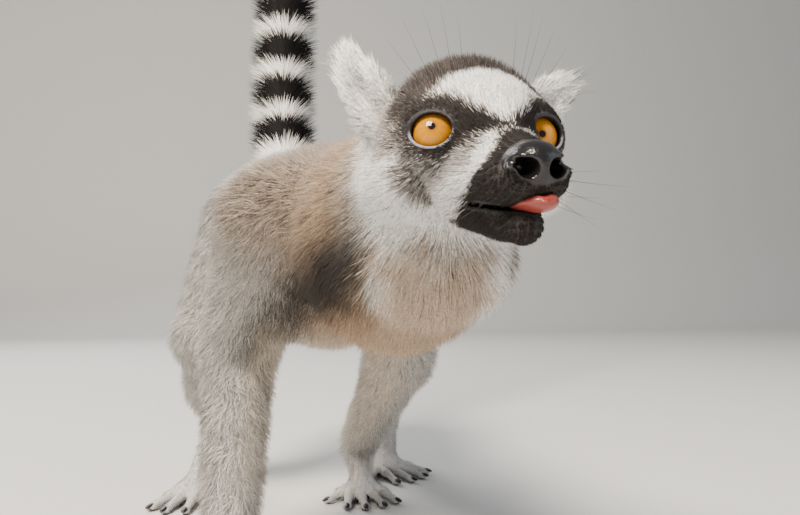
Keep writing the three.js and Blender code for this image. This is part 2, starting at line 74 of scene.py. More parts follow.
JOINTS = {
    "right": dict(
        shoulder=(-32, -70, 178), elbow=(-47, -28, 116), wrist=(-52, -66, 29), knuckles=(-54, -88, 7),
        hip=(-31, 124, 196), knee=(-64, 83, 117), ankle=(-53, 150, 40),
        heel=(-47, 166, 27), ball=(-70, 106, 7.5), hand_way=-1.62, foot_way=-1.95, inner=1,
    ),
    "left": dict(
        shoulder=(34, -52, 174), elbow=(52, 6, 106), wrist=(43, 84, 37), knuckles=(45, 77, 7),
        hip=(31, 124, 196), knee=(66, 84, 119), ankle=(84, 164, 40),
        heel=(82, 177, 30), ball=(78, 133, 7.5), hand_way=-1.5, foot_way=-0.95, inner=-1,
    ),
}
EARS = {
    "right": dict(root=(-30, -28, 13), lean=0.5, back=0.1),
    "left": dict(root=(28.5, -26, 12), lean=0.9, back=0.1),
}
TAIL_PATH = [
    (0, 146, 218), (0, 168, 236), (0, 184, 258), (-1, 197, 300), (0, 205, 380), (2, 212, 480),
    (4, 222, 580), (6, 240, 670), (8, 275, 740), (10, 318, 776),
]
FINGER = dict(length=27, base=4.2, tip=3.0)
TOE = dict(length=31, base=4.4, tip=3.2)


def place(points):
    """Points in the animal's millimetres as Blender's metres."""
    return (np.asarray(points) + STAND) * MM


def unit(v):
    """Vectors of length one."""
    v = np.asarray(v, float)
    return v / np.maximum(np.linalg.norm(v, axis=-1, keepdims=True), 1e-9)


def step_up(x, low, high):
    """0 below low, 1 above high and an S-curve between them; low may be above high."""
    t = np.clip((x - low) / (high - low), 0.0, 1.0)
    return t * t * (3 - 2 * t)


def mix(a, b, t):
    """a where t is 0, b where it is 1."""
    return a + (b - a) * t


def painted(colour, other, share):
    """Colours mixed with another by one number for each point."""
    return mix(colour, other, share[:, None])


def head_axes():
    """The rows are the head's left, nose and crown directions, made square to each other."""
    left = unit(HEAD_LEFT)
    nose = np.array(HEAD_NOSE)
    nose = unit(nose - (nose @ left) * left)
    return np.array([left, nose, np.cross(nose, left)])


HEAD = head_axes()


def to_head(points):
    """Points of the animal's frame in the head's frame."""
    return (points - HEAD_AT) @ HEAD.T


def from_head(points):
    """Points of the head's frame in the animal's."""
    return np.asarray(points, float) @ HEAD + HEAD_AT


def way(side, angles):
    """A direction of the head's frame from the turn outwards and the lift that a table gives for that
    side."""
    turn, lift = angles[side]
    level = math.cos(lift)
    return np.array([side * math.sin(turn) * level, math.cos(turn) * level, math.sin(lift)])


def eye_at(side):
    """The middle of an eye in the head's frame."""
    return np.array([side * EYE_SPACING / 2, 0.0, 0.0])


# ---- Forms ---------------------------------------------------------------------------------------
class Form:
    """A rounded shape of the body.

    field(points) is the distance to its surface, negative inside; low and high are the corners of its
    box. blend is the width of the fillet to the forms before it, coat is how deep the coat lies over the
    skin there, lie is the way its hairs point and hair is their length. A carving form is cut out
    instead.
    """

    def __init__(self, field, low, high):
        self.field, self.low, self.high = field, np.array(low, float), np.array(high, float)
        self.blend, self.coat, self.lie, self.hair, self.carves = 6.0, 0.0, (0, 1, 0), 10.0, False
        self.name = ""

    def set(self, **values):
        for key, value in values.items():
            setattr(self, key, value)
        return self


def bone(a, b, ra, rb):
    """A round form from a to b: distance to the segment, less a radius that goes evenly from ra to rb."""
    a, b = np.array(a, float), np.array(b, float)
    along = b - a

    def field(p):
        t = np.clip((p - a) @ along / (along @ along), 0.0, 1.0)
        return np.linalg.norm(p - a - t[:, None] * along, axis=1) - (ra + (rb - ra) * t)

    reach = max(ra, rb)
    return Form(field, np.minimum(a, b) - reach, np.maximum(a, b) + reach).set(lie=unit(along))


def ball(centre, radii):
    """An ellipsoid: with k the length of the point over the radii, the distance is near k (k - 1) over
    its slope."""
    centre, radii = np.array(centre, float), np.array(radii, float)

    def field(p):
        q = (p - centre) / radii
        k = np.linalg.norm(q, axis=1)
        steep = np.maximum(np.linalg.norm(q / radii, axis=1), 1e-6)
        return k * (k - 1.0) / steep

    return Form(field, centre - radii, centre + radii)


def turned(form, axes, at):
    """The form carried into a frame whose axes are the rows of a matrix and whose origin is at a point."""
    corners = np.array(np.meshgrid(*zip(form.low, form.high))).reshape(3, -1).T @ axes + at
    carried = Form(lambda p: form.field((p - at) @ axes.T), corners.min(0), corners.max(0))
    return carried.set(blend=form.blend, coat=form.coat, carves=form.carves)


def on_head(form):
    """A form given in the head's frame, carried into the animal's."""
    return turned(form, HEAD, HEAD_AT).set(name="head")


def rows_for(axis, up=(0, 0, 1)):
    """Three square rows, the second along axis and the third as near to up as it can be."""
    axis = unit(axis)
    top = unit(np.array(up) - (axis @ np.array(up)) * axis)
    return np.array([np.cross(axis, top), axis, top])


def tail_points(count):
    """Points along the tail: a cubic between each two of its path's points, with the slopes of their
    neighbours."""
    path = np.array(TAIL_PATH, float)
    ahead = np.vstack([path[1:], 2 * path[-1] - path[-2]])
    behind = np.vstack([2 * path[0] - path[1], path[:-1]])
    slope = (ahead - behind) / 2
    s = np.linspace(0, len(path) - 1 - 1e-9, count * 8)
    i = s.astype(int)
    t = (s - i)[:, None]
    points = (
        path[i] * (2 * t**3 - 3 * t**2 + 1) + slope[i] * (t**3 - 2 * t**2 + t)
        + path[i + 1] * (3 * t**2 - 2 * t**3) + slope[i + 1] * (t**3 - t**2)
    )
    run = np.concatenate([[0], np.cumsum(np.linalg.norm(np.diff(points, axis=0), axis=1))])
    even = np.linspace(0, run[-1], count)
    return np.stack([np.interp(even, run, points[:, c]) for c in range(3)], axis=1), even


TAIL, TAIL_RUN = tail_points(48)
TAIL_CORE = 12.5  # radius of the tail under its coat
TAIL_RADIUS = 26.0  # and out to the tips of its hair
TAIL_TUFT = 38.0  # how far the hair at its end reaches past the tail itself


def body_forms():
    """The trunk, neck and tail."""
    flank = dict(coat=4.0, hair=9.5, lie=unit((0, 1, -0.25)), name="trunk")
    forms = [
        ball((0, -34, 170), (46, 62, 55)).set(
            coat=4.6, hair=11, lie=unit((0, 0.7, -0.6)), name="trunk"
        ),
        ball((0, 22, 180), (45, 64, 52)).set(**flank, blend=26),
        bone((0, 62, 187), (0, 128, 208), 47, 46).set(**flank, blend=26),
        bone((0, 128, 208), (0, 158, 226), 44, 24).set(**flank, blend=26),
        bone((2, -80, 178), (14, -150, 183), 37.5, 30.5).set(
            coat=5.5, hair=11, lie=unit((0, 1, -0.35)), name="neck", blend=24
        ),
        ball((17, -114, 160), (42, 36, 41)).set(
            coat=6.5, hair=15, lie=unit((0.05, 0.6, -1)), name="neck", blend=20
        ),
        ball((21, -142, 161), (34, 33, 30)).set(
            coat=6.0, hair=14, lie=unit((0.1, 0.55, -1)), name="neck", blend=16
        ),
    ]
    for a, b, start in zip(TAIL[:-1], TAIL[1:], TAIL_RUN):
        if start > TAIL_RUN[-1] - TAIL_TUFT:
            break
        core = TAIL_CORE * (1 - 0.3 * start / TAIL_RUN[-1])
        deep = mix(6.0, TAIL_RADIUS - core, step_up(start, 0, 70))
        forms.append(bone(a, b, core + deep, core + deep).set(
            coat=deep, hair=deep * 1.25, name="tail", blend=9.0
        ))
    return forms


def digits(at, way, inner, size, name):
    """Four digits fanned from a palm or sole and the thumb or great toe, each of two bones, the tip on
    the floor."""
    at = np.array(at, float)
    across = np.array([-math.sin(way), math.cos(way), 0])
    ahead = np.array([math.cos(way), math.sin(way), 0])
    fan = [
        (way + spread * 0.24, spread * 6.2 * across, 0.86 if abs(spread) > 1 else 1.0)
        for spread in (-1.5, -0.5, 0.5, 1.5)
    ]
    fan.append((way + inner * 1.15, inner * 8 * across - 4 * ahead, 0.72))
    forms, nails = [], []
    for turn, shift, share in fan:
        heading = np.array([math.cos(turn), math.sin(turn), 0])
        root = at + shift - heading * size["base"]
        tip = at + shift + heading * size["length"] * share
        tip[2] = size["tip"] * 0.8
        middle = mix(root, tip, 0.52)
        middle[2] = size["base"] + 1.2
        for a, b, ra, rb in (
            (root, middle, size["base"], size["base"] * 0.86),
            (middle, tip, size["base"] * 0.84, size["tip"] * 0.86),
        ):
            forms.append(bone(a, b, ra, rb).set(coat=0.6, hair=4.5, name=name, blend=2.5))
        forms.append(ball(tip, (size["tip"], size["tip"], size["tip"] * 0.85)).set(
            coat=0.4, hair=2.0, name=name, blend=2.0, lie=heading
        ))
        nails.append((tip, heading, size["tip"]))
    return forms, nails


def limb_forms(side):
    """One arm and one leg."""
    j = JOINTS[side]
    knee, ankle = np.array(j["knee"], float), np.array(j["ankle"], float)
    calf = mix(knee, ankle, 0.42) + (0, 4, 0)
    fingers, finger_nails = digits(j["knuckles"], j["hand_way"], j["inner"], FINGER, "hand")
    toes, toe_nails = digits(j["ball"], j["foot_way"], j["inner"], TOE, "foot")
    forms = [
        bone(j["shoulder"], j["elbow"], 30, 21).set(coat=4.2, hair=9, name="arm", blend=16),
        bone(j["elbow"], j["wrist"], 20, 14).set(coat=3.2, hair=7.5, name="arm", blend=8),
        bone(j["wrist"], j["knuckles"], 12, 8.5).set(coat=2.0, hair=6, name="hand", blend=6),
        ball(j["knuckles"], (13, 9, 7.5)).set(coat=1.2, hair=5, name="hand", blend=6, lie=(0, -1, -0.3)),
        bone(j["hip"], j["knee"], 40, 24).set(coat=4.4, hair=10, name="leg", blend=20),
        bone(knee, ankle, 21, 12).set(coat=3.6, hair=8.5, name="leg", blend=10),
        ball(calf, (20.5, 20, 28)).set(coat=3.8, hair=9, name="leg", blend=12, lie=unit(ankle - knee)),
        bone(ankle, j["heel"], 12, 10).set(coat=2.8, hair=7, name="foot", blend=8),
        bone(ankle, j["ball"], 12, 9).set(coat=2.0, hair=6, name="foot", blend=8),
        ball(j["ball"], (15, 12, 8.5)).set(coat=1.2, hair=5, name="foot", blend=6, lie=(0, -1, -0.2)),
    ]
    return forms + fingers + toes, finger_nails + toe_nails


def head_forms():
    """The skull with its jaw, muzzle, nose, lids, lips and ears, and what is carved out of it."""
    forms = [
        ball((0, -20, 3), (27, 31, 24)).set(coat=3.2, blend=14),
        ball((0, -3, 5), (19, 19, 14)).set(coat=2.6, blend=12),
        bone((0, 4, -5), (0, 31.5, -11.5), 14, 10.3).set(coat=1.5, blend=12),
        bone((0, -5, -19), (0, 31.8, -26.9), 10.5, 6.8).set(coat=1.5, blend=4.5),
    ]
    for s in (-1, 1):
        forms += [
            ball((s * 16, -13, 4), (14 - 2.5 * (s > 0), 19, 15 - 1.5 * (s > 0))).set(coat=2.8, blend=8),
            ball((s * 21, -18, -13), (17, 21, 17)).set(coat=4.5, blend=9),
            ball((s * 6.5, 30, -14.5), (7, 10.5, 6.5)).set(coat=1.0, blend=4),
            # the flesh of the lips, back to the corner of the mouth, and of the jaw below it
            bone((s * 9, 3, -14.5), (s * 6.5, 24, -16), 8.5, 6.4).set(coat=1.0, blend=6),
            bone((s * 6, -2, -20), (s * 3, 23, -23.5), 8.0, 5.8).set(coat=1.2, blend=3),
            ball((s * 15.5, -1, 0.5), (11.5, 11, 11.5)).set(coat=1.9, blend=6),
            ball(eye_at(s), (LID_RADIUS,) * 3).set(blend=4),
        ]
    forms += [
        ball((0, 38.0, -9.8), (7.2, 7.6, 6.0)).set(blend=2.5),
        ball((0, 38.6, -12.8), (5.6, 6.4, 4.8)).set(blend=2.0),
        # the upper lip, down to the tongue
        ball((0, 36.6, -16.6), (7.6, 5.2, 3.7)).set(coat=0.2, blend=3.0),
    ]
    for s in (-1, 1):
        forms += [
            # the wing of the nose round each nostril, and the nostril, a comma that runs back to the side
            ball((s * 4.7, 40.9, -12.0), (4.0, 4.4, 4.6)).set(blend=1.4),
            bone((s * 4.4, 47.4, -12.0), (s * 4.2, 38.5, -11.2), 3.3, 1.9).set(carves=True, blend=0.8),
            bone((s * 5.8, 45.0, -11.0), (s * 9.2, 38.6, -8.6), 2.0, 0.8).set(carves=True, blend=0.8),
            ball(eye_at(s), (EYE_RADIUS + 0.05,) * 3).set(carves=True, blend=0.3),
            lid_opening(s),
        ]
    forms += [
        # the groove under the nose, and the mouth
        bone((0, 46.6, -13.5), (0, 42.4, -20.0), 0.7, 0.7).set(carves=True, blend=1.0),
        mouth_line(),
    ]
    return [on_head(form) for form in forms]


def tear_corner(side):
    """Where the lids meet at the nose's side of the eye."""
    return eye_at(side) + 9.4 * unit((-side * 0.5, 0.86, -0.06))


def lid_opening(side):
    """The opening between the lids: an oval tube along their own direction, drawn out to the tear
    corner."""
    at = eye_at(side) + way(side, LIDS) * 9
    main = turned(ball((0, 0, 0), (OPENING[0], 8, OPENING[1])), rows_for(way(side, LIDS)), at)
    tear = bone(at, tear_corner(side), 3.6, 0.7)

    def field(p):
        return np.minimum(main.field(p), tear.field(p))

    return Form(field, at - 11, at + 11).set(carves=True, blend=0.5)


def past_lids(h, side):
    """How far each point of the head is beyond the edge of an eye's opening, in mm, and how high it is
    beside it."""
    across, ahead, up = ((h - eye_at(side)) @ rows_for(way(side, LIDS)).T).T
    oval = (np.hypot(across / OPENING[0], up / OPENING[1]) - 1) * 5.8
    tear = (near_line(h, eye_at(side) + way(side, LIDS) * 9, tear_corner(side), 3.6, 0.7) - 1) * 1.4
    return np.where((ahead < 0) | (ahead > 16), 99.0, np.minimum(oval, tear)), up


def mouth_line():
    """The slit between the lips: a thin curved sheet whose height rises towards the back and the
    corners."""

    def field(p):
        x, y, z = p.T
        level = MOUTH_LEVEL + 0.00076 * (y - 38) ** 2 + MOUTH_BOW * x * x
        sheet = np.abs(z - level) - 0.55
        span = np.hypot(x / 12.5, (y - 22) / 24.0) * 12 - 12
        return np.maximum(sheet, span)

    return Form(field, (-16, -4, -30), (16, 50, -14)).set(carves=True, blend=1.0)


def ear_forms(side):
    """The pinna: a leaf of an ellipsoid with a cup hollowed out of its front."""
    ear = EARS[side]
    s = -1 if side == "right" else 1
    lean, back, turn = s * ear["lean"], ear["back"], s * 0.45
    up = np.array([math.sin(lean), -math.sin(back), math.cos(lean)])
    front = np.array([math.sin(turn), math.cos(turn), 0.0])
    rows = rows_for(front - (front @ unit(up)) * unit(up), up)
    at = np.array(ear["root"], float)
    leaf = turned(ball((0, 0, 1), (7.4, 3.8, 14.0)), rows, at).set(blend=5, coat=0.0)
    cup = turned(ball((0, 5.0, 4), (5.2, 4.4, 10.0)), rows, at).set(blend=1.5, carves=True)
    return [on_head(leaf).set(name="ear", hair=11.0, lie=unit(up) @ HEAD), on_head(cup).set(name="ear")]


SKIN_FORMS = body_forms()
NAILS = []
for one_side in JOINTS:
    grown, nails = limb_forms(one_side)
    SKIN_FORMS += grown
    NAILS += nails
SKIN_FORMS += head_forms()
for one_side in EARS:
    SKIN_FORMS += ear_forms(one_side)

FAR = 60.0


def join(d, form, points):
    """The field d with one more form: the smaller of the two distances, or for a carving the larger of d
    and minus the form's, rounded off where the two are within blend of each other."""
    e = form.field(points) + form.coat
    if form.carves:
        e = -e
        h = np.clip(1 - np.abs(d - e) / form.blend, 0, None)
        return np.maximum(d, e) + h * h * form.blend / 4
    h = np.clip(1 - np.abs(d - e) / form.blend, 0, None)
    return np.minimum(d, e) - h * h * form.blend / 4


def skin_field(points):
    """Distance to the skin: the forms joined in order, each only near its own box."""
    d = np.full(len(points), FAR)
    for form in SKIN_FORMS:
        room = form.blend + 2
        near = ((points > form.low - room) & (points < form.high + room)).all(axis=1)
        if near.any():
            d[near] = join(d[near], form, points[near])
    return np.maximum(d, -points[:, 2])


def slope(points, h=0.15):
    """The field's gradient from differences over h each way, and so the direction that the skin faces."""
    moves = np.eye(3) * h
    return np.stack([skin_field(points + m) - skin_field(points - m) for m in moves], axis=1) / (2 * h)


def settled(points, rounds=3, reach=1.5):
    """The points moved down the gradient on to the skin."""
    p = points.copy()
    for _ in range(rounds):
        g = slope(p)
        move = -skin_field(p)[:, None] * g / np.maximum((g * g).sum(1, keepdims=True), 0.3)
        long = np.linalg.norm(move, axis=1, keepdims=True)
        p += move * np.minimum(1, reach / np.maximum(long, 1e-9))
    return p


# ---- The skin's mesh -----------------------------------------------------------------------------
def grid_field(axes):
    """The skin's field on a grid, each form worked out only on the block of the grid that its box
    covers."""
    d = np.full([len(a) for a in axes], FAR)
    for form in SKIN_FORMS:
        room = form.blend + 2 * (axes[0][1] - axes[0][0])
        cuts = [
            slice(np.searchsorted(a, low - room), np.searchsorted(a, high + room))
            for a, low, high in zip(axes, form.low, form.high)
        ]
        block = [a[c] for a, c in zip(axes, cuts)]
        if min(len(b) for b in block) == 0:
            continue
        points = np.stack(np.meshgrid(*block, indexing="ij"), axis=-1).reshape(-1, 3)
        part = d[tuple(cuts)]
        d[tuple(cuts)] = join(part.ravel(), form, points).reshape(part.shape)
    return np.maximum(d, -axes[2][None, None, :])


def surface_net(low, high, step):
    """The surface where the field is zero: one point in each grid cell that it crosses, at the mean of
    the places where it crosses the cell's edges, and one square across each grid edge that it crosses."""
    axes = [np.arange(a, b + step * 0.5, step) for a, b in zip(low, high)]
    d = grid_field(axes)
    inside = d < 0
    corners = [(c & 1, c >> 1 & 1, c >> 2) for c in range(8)]
    size = [n - 1 for n in d.shape]

    def at(c, values):
        return values[c[0]:c[0] + size[0], c[1]:c[1] + size[1], c[2]:c[2] + size[2]]

    filled = sum(at(c, inside).astype(np.int8) for c in corners)
    cells = np.argwhere((filled > 0) & (filled < 8))
    index = np.full(size, -1)
    index[tuple(cells.T)] = np.arange(len(cells))
    total, crossings = np.zeros((len(cells), 3)), np.zeros((len(cells), 1))
    for a in corners:
        for b in corners:
            if sum(b) <= sum(a) or sum(u != v for u, v in zip(a, b)) != 1:
                continue
            va, vb = d[tuple((cells + a).T)], d[tuple((cells + b).T)]
            hit = (va < 0) != (vb < 0)
            t = np.where(hit, va / np.where(hit, va - vb, 1), 0)[:, None]
            total += np.where(hit[:, None], np.array(a) + t * (np.array(b) - a), 0)
            crossings += hit[:, None]
    points = (cells + total / crossings) * step + np.array([a[0] for a in axes])

    quads = []
    for axis, (u, v) in enumerate(((1, 2), (2, 0), (0, 1))):
        one = np.eye(3, dtype=int)[axis]
        start = inside[: d.shape[0] - one[0], : d.shape[1] - one[1], : d.shape[2] - one[2]]
        end = inside[one[0]:, one[1]:, one[2]:]
        for leaving in (True, False):
            edge = np.argwhere((start == leaving) & (end != leaving))
            on_u, on_v = edge[:, u], edge[:, v]
            edge = edge[(on_u > 0) & (on_v > 0) & (on_u < size[u]) & (on_v < size[v])]
            back_u, back_v = np.eye(3, dtype=int)[u], np.eye(3, dtype=int)[v]
            four = [edge - back_u - back_v, edge - back_v, edge, edge - back_u]
            quad = np.stack([index[tuple(c.T)] for c in four], axis=1)
            quads.append(quad if leaving else quad[:, ::-1])
    quads = np.vstack(quads)
    return points, np.vstack([quads[:, [0, 1, 2]], quads[:, [0, 2, 3]]])


def rim_of(faces):
    """The points on the open rim of a mesh: the ends of the edges that only one triangle has."""
    edges = np.sort(np.vstack([faces[:, [0, 1]], faces[:, [1, 2]], faces[:, [2, 0]]]), axis=1)
    edges, count = np.unique(edges, axis=0, return_counts=True)
    return np.unique(edges[count == 1])


def zipped(points, one, two):
    """Triangles between two rims round the neck, whose points are taken in the order of their angle
    about it.

    In the merged order each point closes one triangle with the last point before it on its own rim and
    the last on the other."""
    middle = points[one].mean(0)

    def turn(rim):
        return np.arctan2(points[rim, 2] - middle[2], points[rim, 0] - middle[0])

    one, two = one[np.argsort(turn(one))], two[np.argsort(turn(two))]
    angle = np.concatenate([turn(one), turn(two)])
    first = np.concatenate([np.ones(len(one), bool), np.zeros(len(two), bool)])
    order = np.argsort(angle)
    first = first[order]
    on_one = np.cumsum(first) - 1
    on_two = np.cumsum(~first) - 1
    a, b = one[on_one % len(one)], two[on_two % len(two)]
    own = np.where(first, one[on_one % len(one)], two[on_two % len(two)])
    before = np.where(first, one[(on_one - 1) % len(one)], two[(on_two - 1) % len(two)])
    other = np.where(first, b, a)
    return np.where(first[:, None], np.stack([before, own, other], 1), np.stack([own, before, other], 1))


def refined(points, faces, wanted):
    """The mesh with each triangle that has all its corners wanted cut in four, and its neighbours cut to
    match."""
    marked = wanted[faces].all(axis=1)
    sides = np.stack([faces[:, [0, 1]], faces[:, [1, 2]], faces[:, [2, 0]]], axis=1)
    keys = np.sort(sides, axis=2) @ np.array([len(points), 1])
    cut_keys = np.unique(keys[marked])
    found = np.searchsorted(cut_keys, keys)
    cut = cut_keys[np.minimum(found, len(cut_keys) - 1)] == keys
    middle = np.where(cut, len(points) + found, -1)
    ends = np.stack([cut_keys // len(points), cut_keys % len(points)], axis=1)
    points = np.vstack([points, points[ends].mean(axis=1)])
    many = cut.sum(axis=1)
    made = [faces[many == 0]]
    (a, b, c), (p, q, r) = faces[many == 3].T, middle[many == 3].T
    made += [np.stack(t, 1) for t in ((a, p, r), (p, b, q), (r, q, c), (p, q, r))]
    for k in range(3):
        turned_face, turned_middle = np.roll(faces, -k, axis=1), np.roll(middle, -k, axis=1)
        alone = (many == 1) & (turned_middle[:, 0] >= 0)
        a, b, c = turned_face[alone].T
        m = turned_middle[alone, 0]
        made += [np.stack(t, 1) for t in ((a, m, c), (m, b, c))]
        pair = (many == 2) & (turned_middle[:, 0] < 0)
        a, b, c = turned_face[pair].T
        m, n = turned_middle[pair, 1], turned_middle[pair, 2]
        made += [np.stack(t, 1) for t in ((a, b, m), (a, m, n), (n, m, c))]
    return points, np.vstack(made)


def skin_mesh():
    """The whole skin: a coarse net behind the cut through the neck and a fine one before it, zipped
    together, then cut finer on the hands and feet and round the eyes, nose and mouth."""
    low = np.min([f.low for f in SKIN_FORMS if not f.carves], axis=0) - 6
    high = np.max([f.high for f in SKIN_FORMS if not f.carves], axis=0) + 6
    low[0], low[2] = math.floor(low[0] / BODY_STEP) * BODY_STEP, -2 * BODY_STEP
    back = surface_net((low[0], NECK_CUT, low[2]), high, BODY_STEP)
    start = math.ceil((low[1] - NECK_CUT) / FINE_STEP) * FINE_STEP + NECK_CUT
    front_low = (-45.0, start, 108.0)
    front_high = (84.0, NECK_CUT, 244.0)
    front = surface_net(front_low, front_high, FINE_STEP)
    points = np.vstack([back[0], front[0]])
    front_faces = front[1] + len(back[0])
    seam = zipped(points, rim_of(back[1]), rim_of(front_faces))
    faces = np.vstack([back[1], front_faces, seam])
    points = settled(points)
    paws = (points[:, 2] < 34) & (points[:, 1] > NECK_CUT)
    points, faces = refined(points, faces, paws)
    points = settled(points, 2)
    h = to_head(points)
    eyes = np.minimum(*(np.linalg.norm(h - eye_at(s), axis=1) for s in (-1, 1))) < 12.5
    fine = eyes | ((h[:, 1] > 30) & (np.abs(h[:, 0]) < 14))
    points, faces = refined(points, faces, fine & (points[:, 1] < NECK_CUT))
    points = settled(points, 3, 0.6)
    h = to_head(points)
    rims = np.minimum(*(np.abs(past_lids(h, s)[0] - 0.4) for s in (-1, 1))) < 1.4
    points, faces = refined(points, faces, rims & (points[:, 1] < NECK_CUT))
    return settled(points, 2, 0.3), faces


# ---- Meshes into Blender -------------------------------------------------------------------------
def new_piece(name, points, faces, material, uv=None, colours=None):
    """An object of triangles at the origin, with its UV map and colours if it has them."""
    mesh = bpy.data.meshes.new(name)
    mesh.vertices.add(len(points))
    mesh.vertices.foreach_set("co", place(points).astype(np.float32).ravel())
    mesh.loops.add(faces.size)
    mesh.loops.foreach_set("vertex_index", faces.astype(np.int32).ravel())
    mesh.polygons.add(len(faces))
    mesh.polygons.foreach_set("loop_start", np.arange(0, faces.size, 3, dtype=np.int32))
    mesh.polygons.foreach_set("loop_total", np.full(len(faces), 3, np.int32))
    mesh.polygons.foreach_set("use_smooth", np.ones(len(faces), bool))
    if uv is not None:
        layer = mesh.uv_layers.new(name="OFBake")
        layer.uv.foreach_set("vector", uv.astype(np.float32).ravel())
    for key, values in (colours or {}).items():
        attribute = mesh.attributes.new(key, "FLOAT_COLOR", "POINT")
        full = np.ones((len(points), 4), np.float32)
        full[:, :3] = values
        attribute.data.foreach_set("color", full.ravel())
    mesh.update(calc_edges=True)
    mesh.validate()
    mesh.materials.append(material)
    piece = bpy.data.objects.new(name, mesh)
    bpy.context.scene.collection.objects.link(piece)
    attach(piece, "root")
    return piece


# ---- Colours -------------------------------------------------------------------------------------
def linear(code):
    """An sRGB hex colour as linear values: c / 12.92 below 0.04045, else ((c + 0.055) / 1.055) to the
    power 2.4."""
    c = np.array([int(code[i:i + 2], 16) for i in (1, 3, 5)]) / 255
    return np.where(c < 0.04045, c / 12.92, ((c + 0.055) / 1.055) ** 2.4)


WHITE = linear("#f7f4ef")
CREAM = linear("#ddd0bf")
# cream fur as it looks in shade under warm light thrown up from the floor: painted shade and painted bounce
# light
BOUNCE_LIT_TAN = linear("#b0937a")
GOLD = linear("#a18a72")
BACK = linear("#92877c")
PALE_GREY = linear("#c4c0bb")
MID_GREY = linear("#8f8a85")
DARK_GREY = linear("#443e3b")
CHARCOAL = linear("#272321")
UMBER = linear("#6f635a")
BLACK_COAT = linear("#100e0d")
BARE_BLACK = linear("#151314")
# the pale of the wet lid rims: a painted highlight
LID_RIM_HIGHLIGHT = linear("#b7aec0")


def tail_place(points):
    """How far along the tail each point is, at its nearest place on the tail's line."""
    best, where = np.full(len(points), 1e9), np.zeros(len(points))
    for a, b, start in zip(TAIL[:-1], TAIL[1:], TAIL_RUN):
        along = b - a
        t = np.clip((points - a) @ along / (along @ along), 0, 1)
        gap = np.linalg.norm(points - a - t[:, None] * along, axis=1)
        nearer = gap < best
        best[nearer] = gap[nearer]
        where[nearer] = (start + t * np.linalg.norm(along))[nearer]
    return where


def near_line(h, a, b, ra, rb):
    """How many radii each point is from the segment from a to b, whose radius goes evenly from ra to rb."""
    a, b = np.array(a, float), np.array(b, float)
    along = b - a
    t = np.clip((h - a) @ along / (along @ along), 0, 1)
    return np.linalg.norm(h - a - t[:, None] * along, axis=1) / (ra + (rb - ra) * t)


# The grey below the eyes: its depth, a line's ends and radii, and how many radii out it ends and is full.
UNDER_EYE = [
    (0.92, ((24.5, -1, -11), (17, -1.5, -15.5), 4.5, 4.5), 1.3, 0.6),
    (0.85, ((25, 2.5, -7), (15, 8, -9), 5.0, 4.5), 1.4, 0.5),
    (0.6, ((19, 3, -11), (12.5, 16, -7), 7, 5), 1.4, 0.4),
    (0.55, ((15, 9, -2), (11, 17.5, -4.5), 5, 3.5), 1.4, 0.5),
]


def head_colours(h):
    """The face: a white brow and blaze, charcoal patches with dark grey edges round the eyes that run to
    the bridge, grey below them, a charcoal muzzle and chin, umber temples, a dark grey crown and white
    cheeks. It is the same on both sides."""
    x, y, z = h.T
    ax = np.abs(x)
    h = np.stack([ax, y, z], axis=1)
    colour = np.tile(WHITE, (len(h), 1))
    crown = step_up(y - 0.5 - 0.25 * np.maximum(ax - 11, 0), 1.8, -1.8)
    crown = crown * step_up(z, 2, 9) * step_up(ax, 32, 27)
    temple = step_up(ax, 18.5, 22.5) * step_up(z, -8, -1) * step_up(y, 7, 3) * step_up(ax + 0.3 * y, 31, 26)
    nape = step_up(y, -30, -44) * step_up(z, -12, 2)
    colour = painted(colour, UMBER, 0.9 * temple)
    colour = painted(colour, DARK_GREY, crown)
    colour = painted(colour, MID_GREY, 0.85 * nape)
    grey = 0
    for depth, line, outer, inner in UNDER_EYE:
        grey = np.maximum(grey, depth * step_up(near_line(h, *line), outer, inner))
    colour = painted(colour, DARK_GREY, grey)
    patch = np.linalg.norm((h[:, [0, 2]] - (17.6, 2.8)) / (10.6, 9.6), axis=1)
    colour = painted(colour, DARK_GREY, step_up(patch, 1.14, 0.94) * step_up(y, -9, -3))
    dark = step_up(patch, 0.98, 0.72) * step_up(y, -5, 0)
    to_bridge = near_line(h, (12.5, 11.5, 3.0), (3.0, 21.5, 1.8), 5.2, 2.6)
    dark = np.maximum(dark, step_up(to_bridge, 1.25, 0.85))
    colour = painted(colour, CHARCOAL * 0.8, dark)
    notch = step_up(near_line(h, (33, -31, 3), (31, -26, 0), 3, 2), 1.3, 0.7)
    colour = painted(colour, CHARCOAL, 0.9 * notch)
    up = np.minimum(z + 7, 9)
    muzzle_edge = 29.5 - up**2 * np.where(up > 0, 0.122, 0.085) + 1.2 * np.maximum(z - 3, 0)
    colour = painted(colour, CHARCOAL, step_up(y - muzzle_edge, -1.5, 1.2))
    chin = step_up(z, -20.5, -22.5) * step_up(y - 16 - 1.5 * (-24.5 - z), -2.5, 2.5)
    return painted(colour, CHARCOAL, chin)


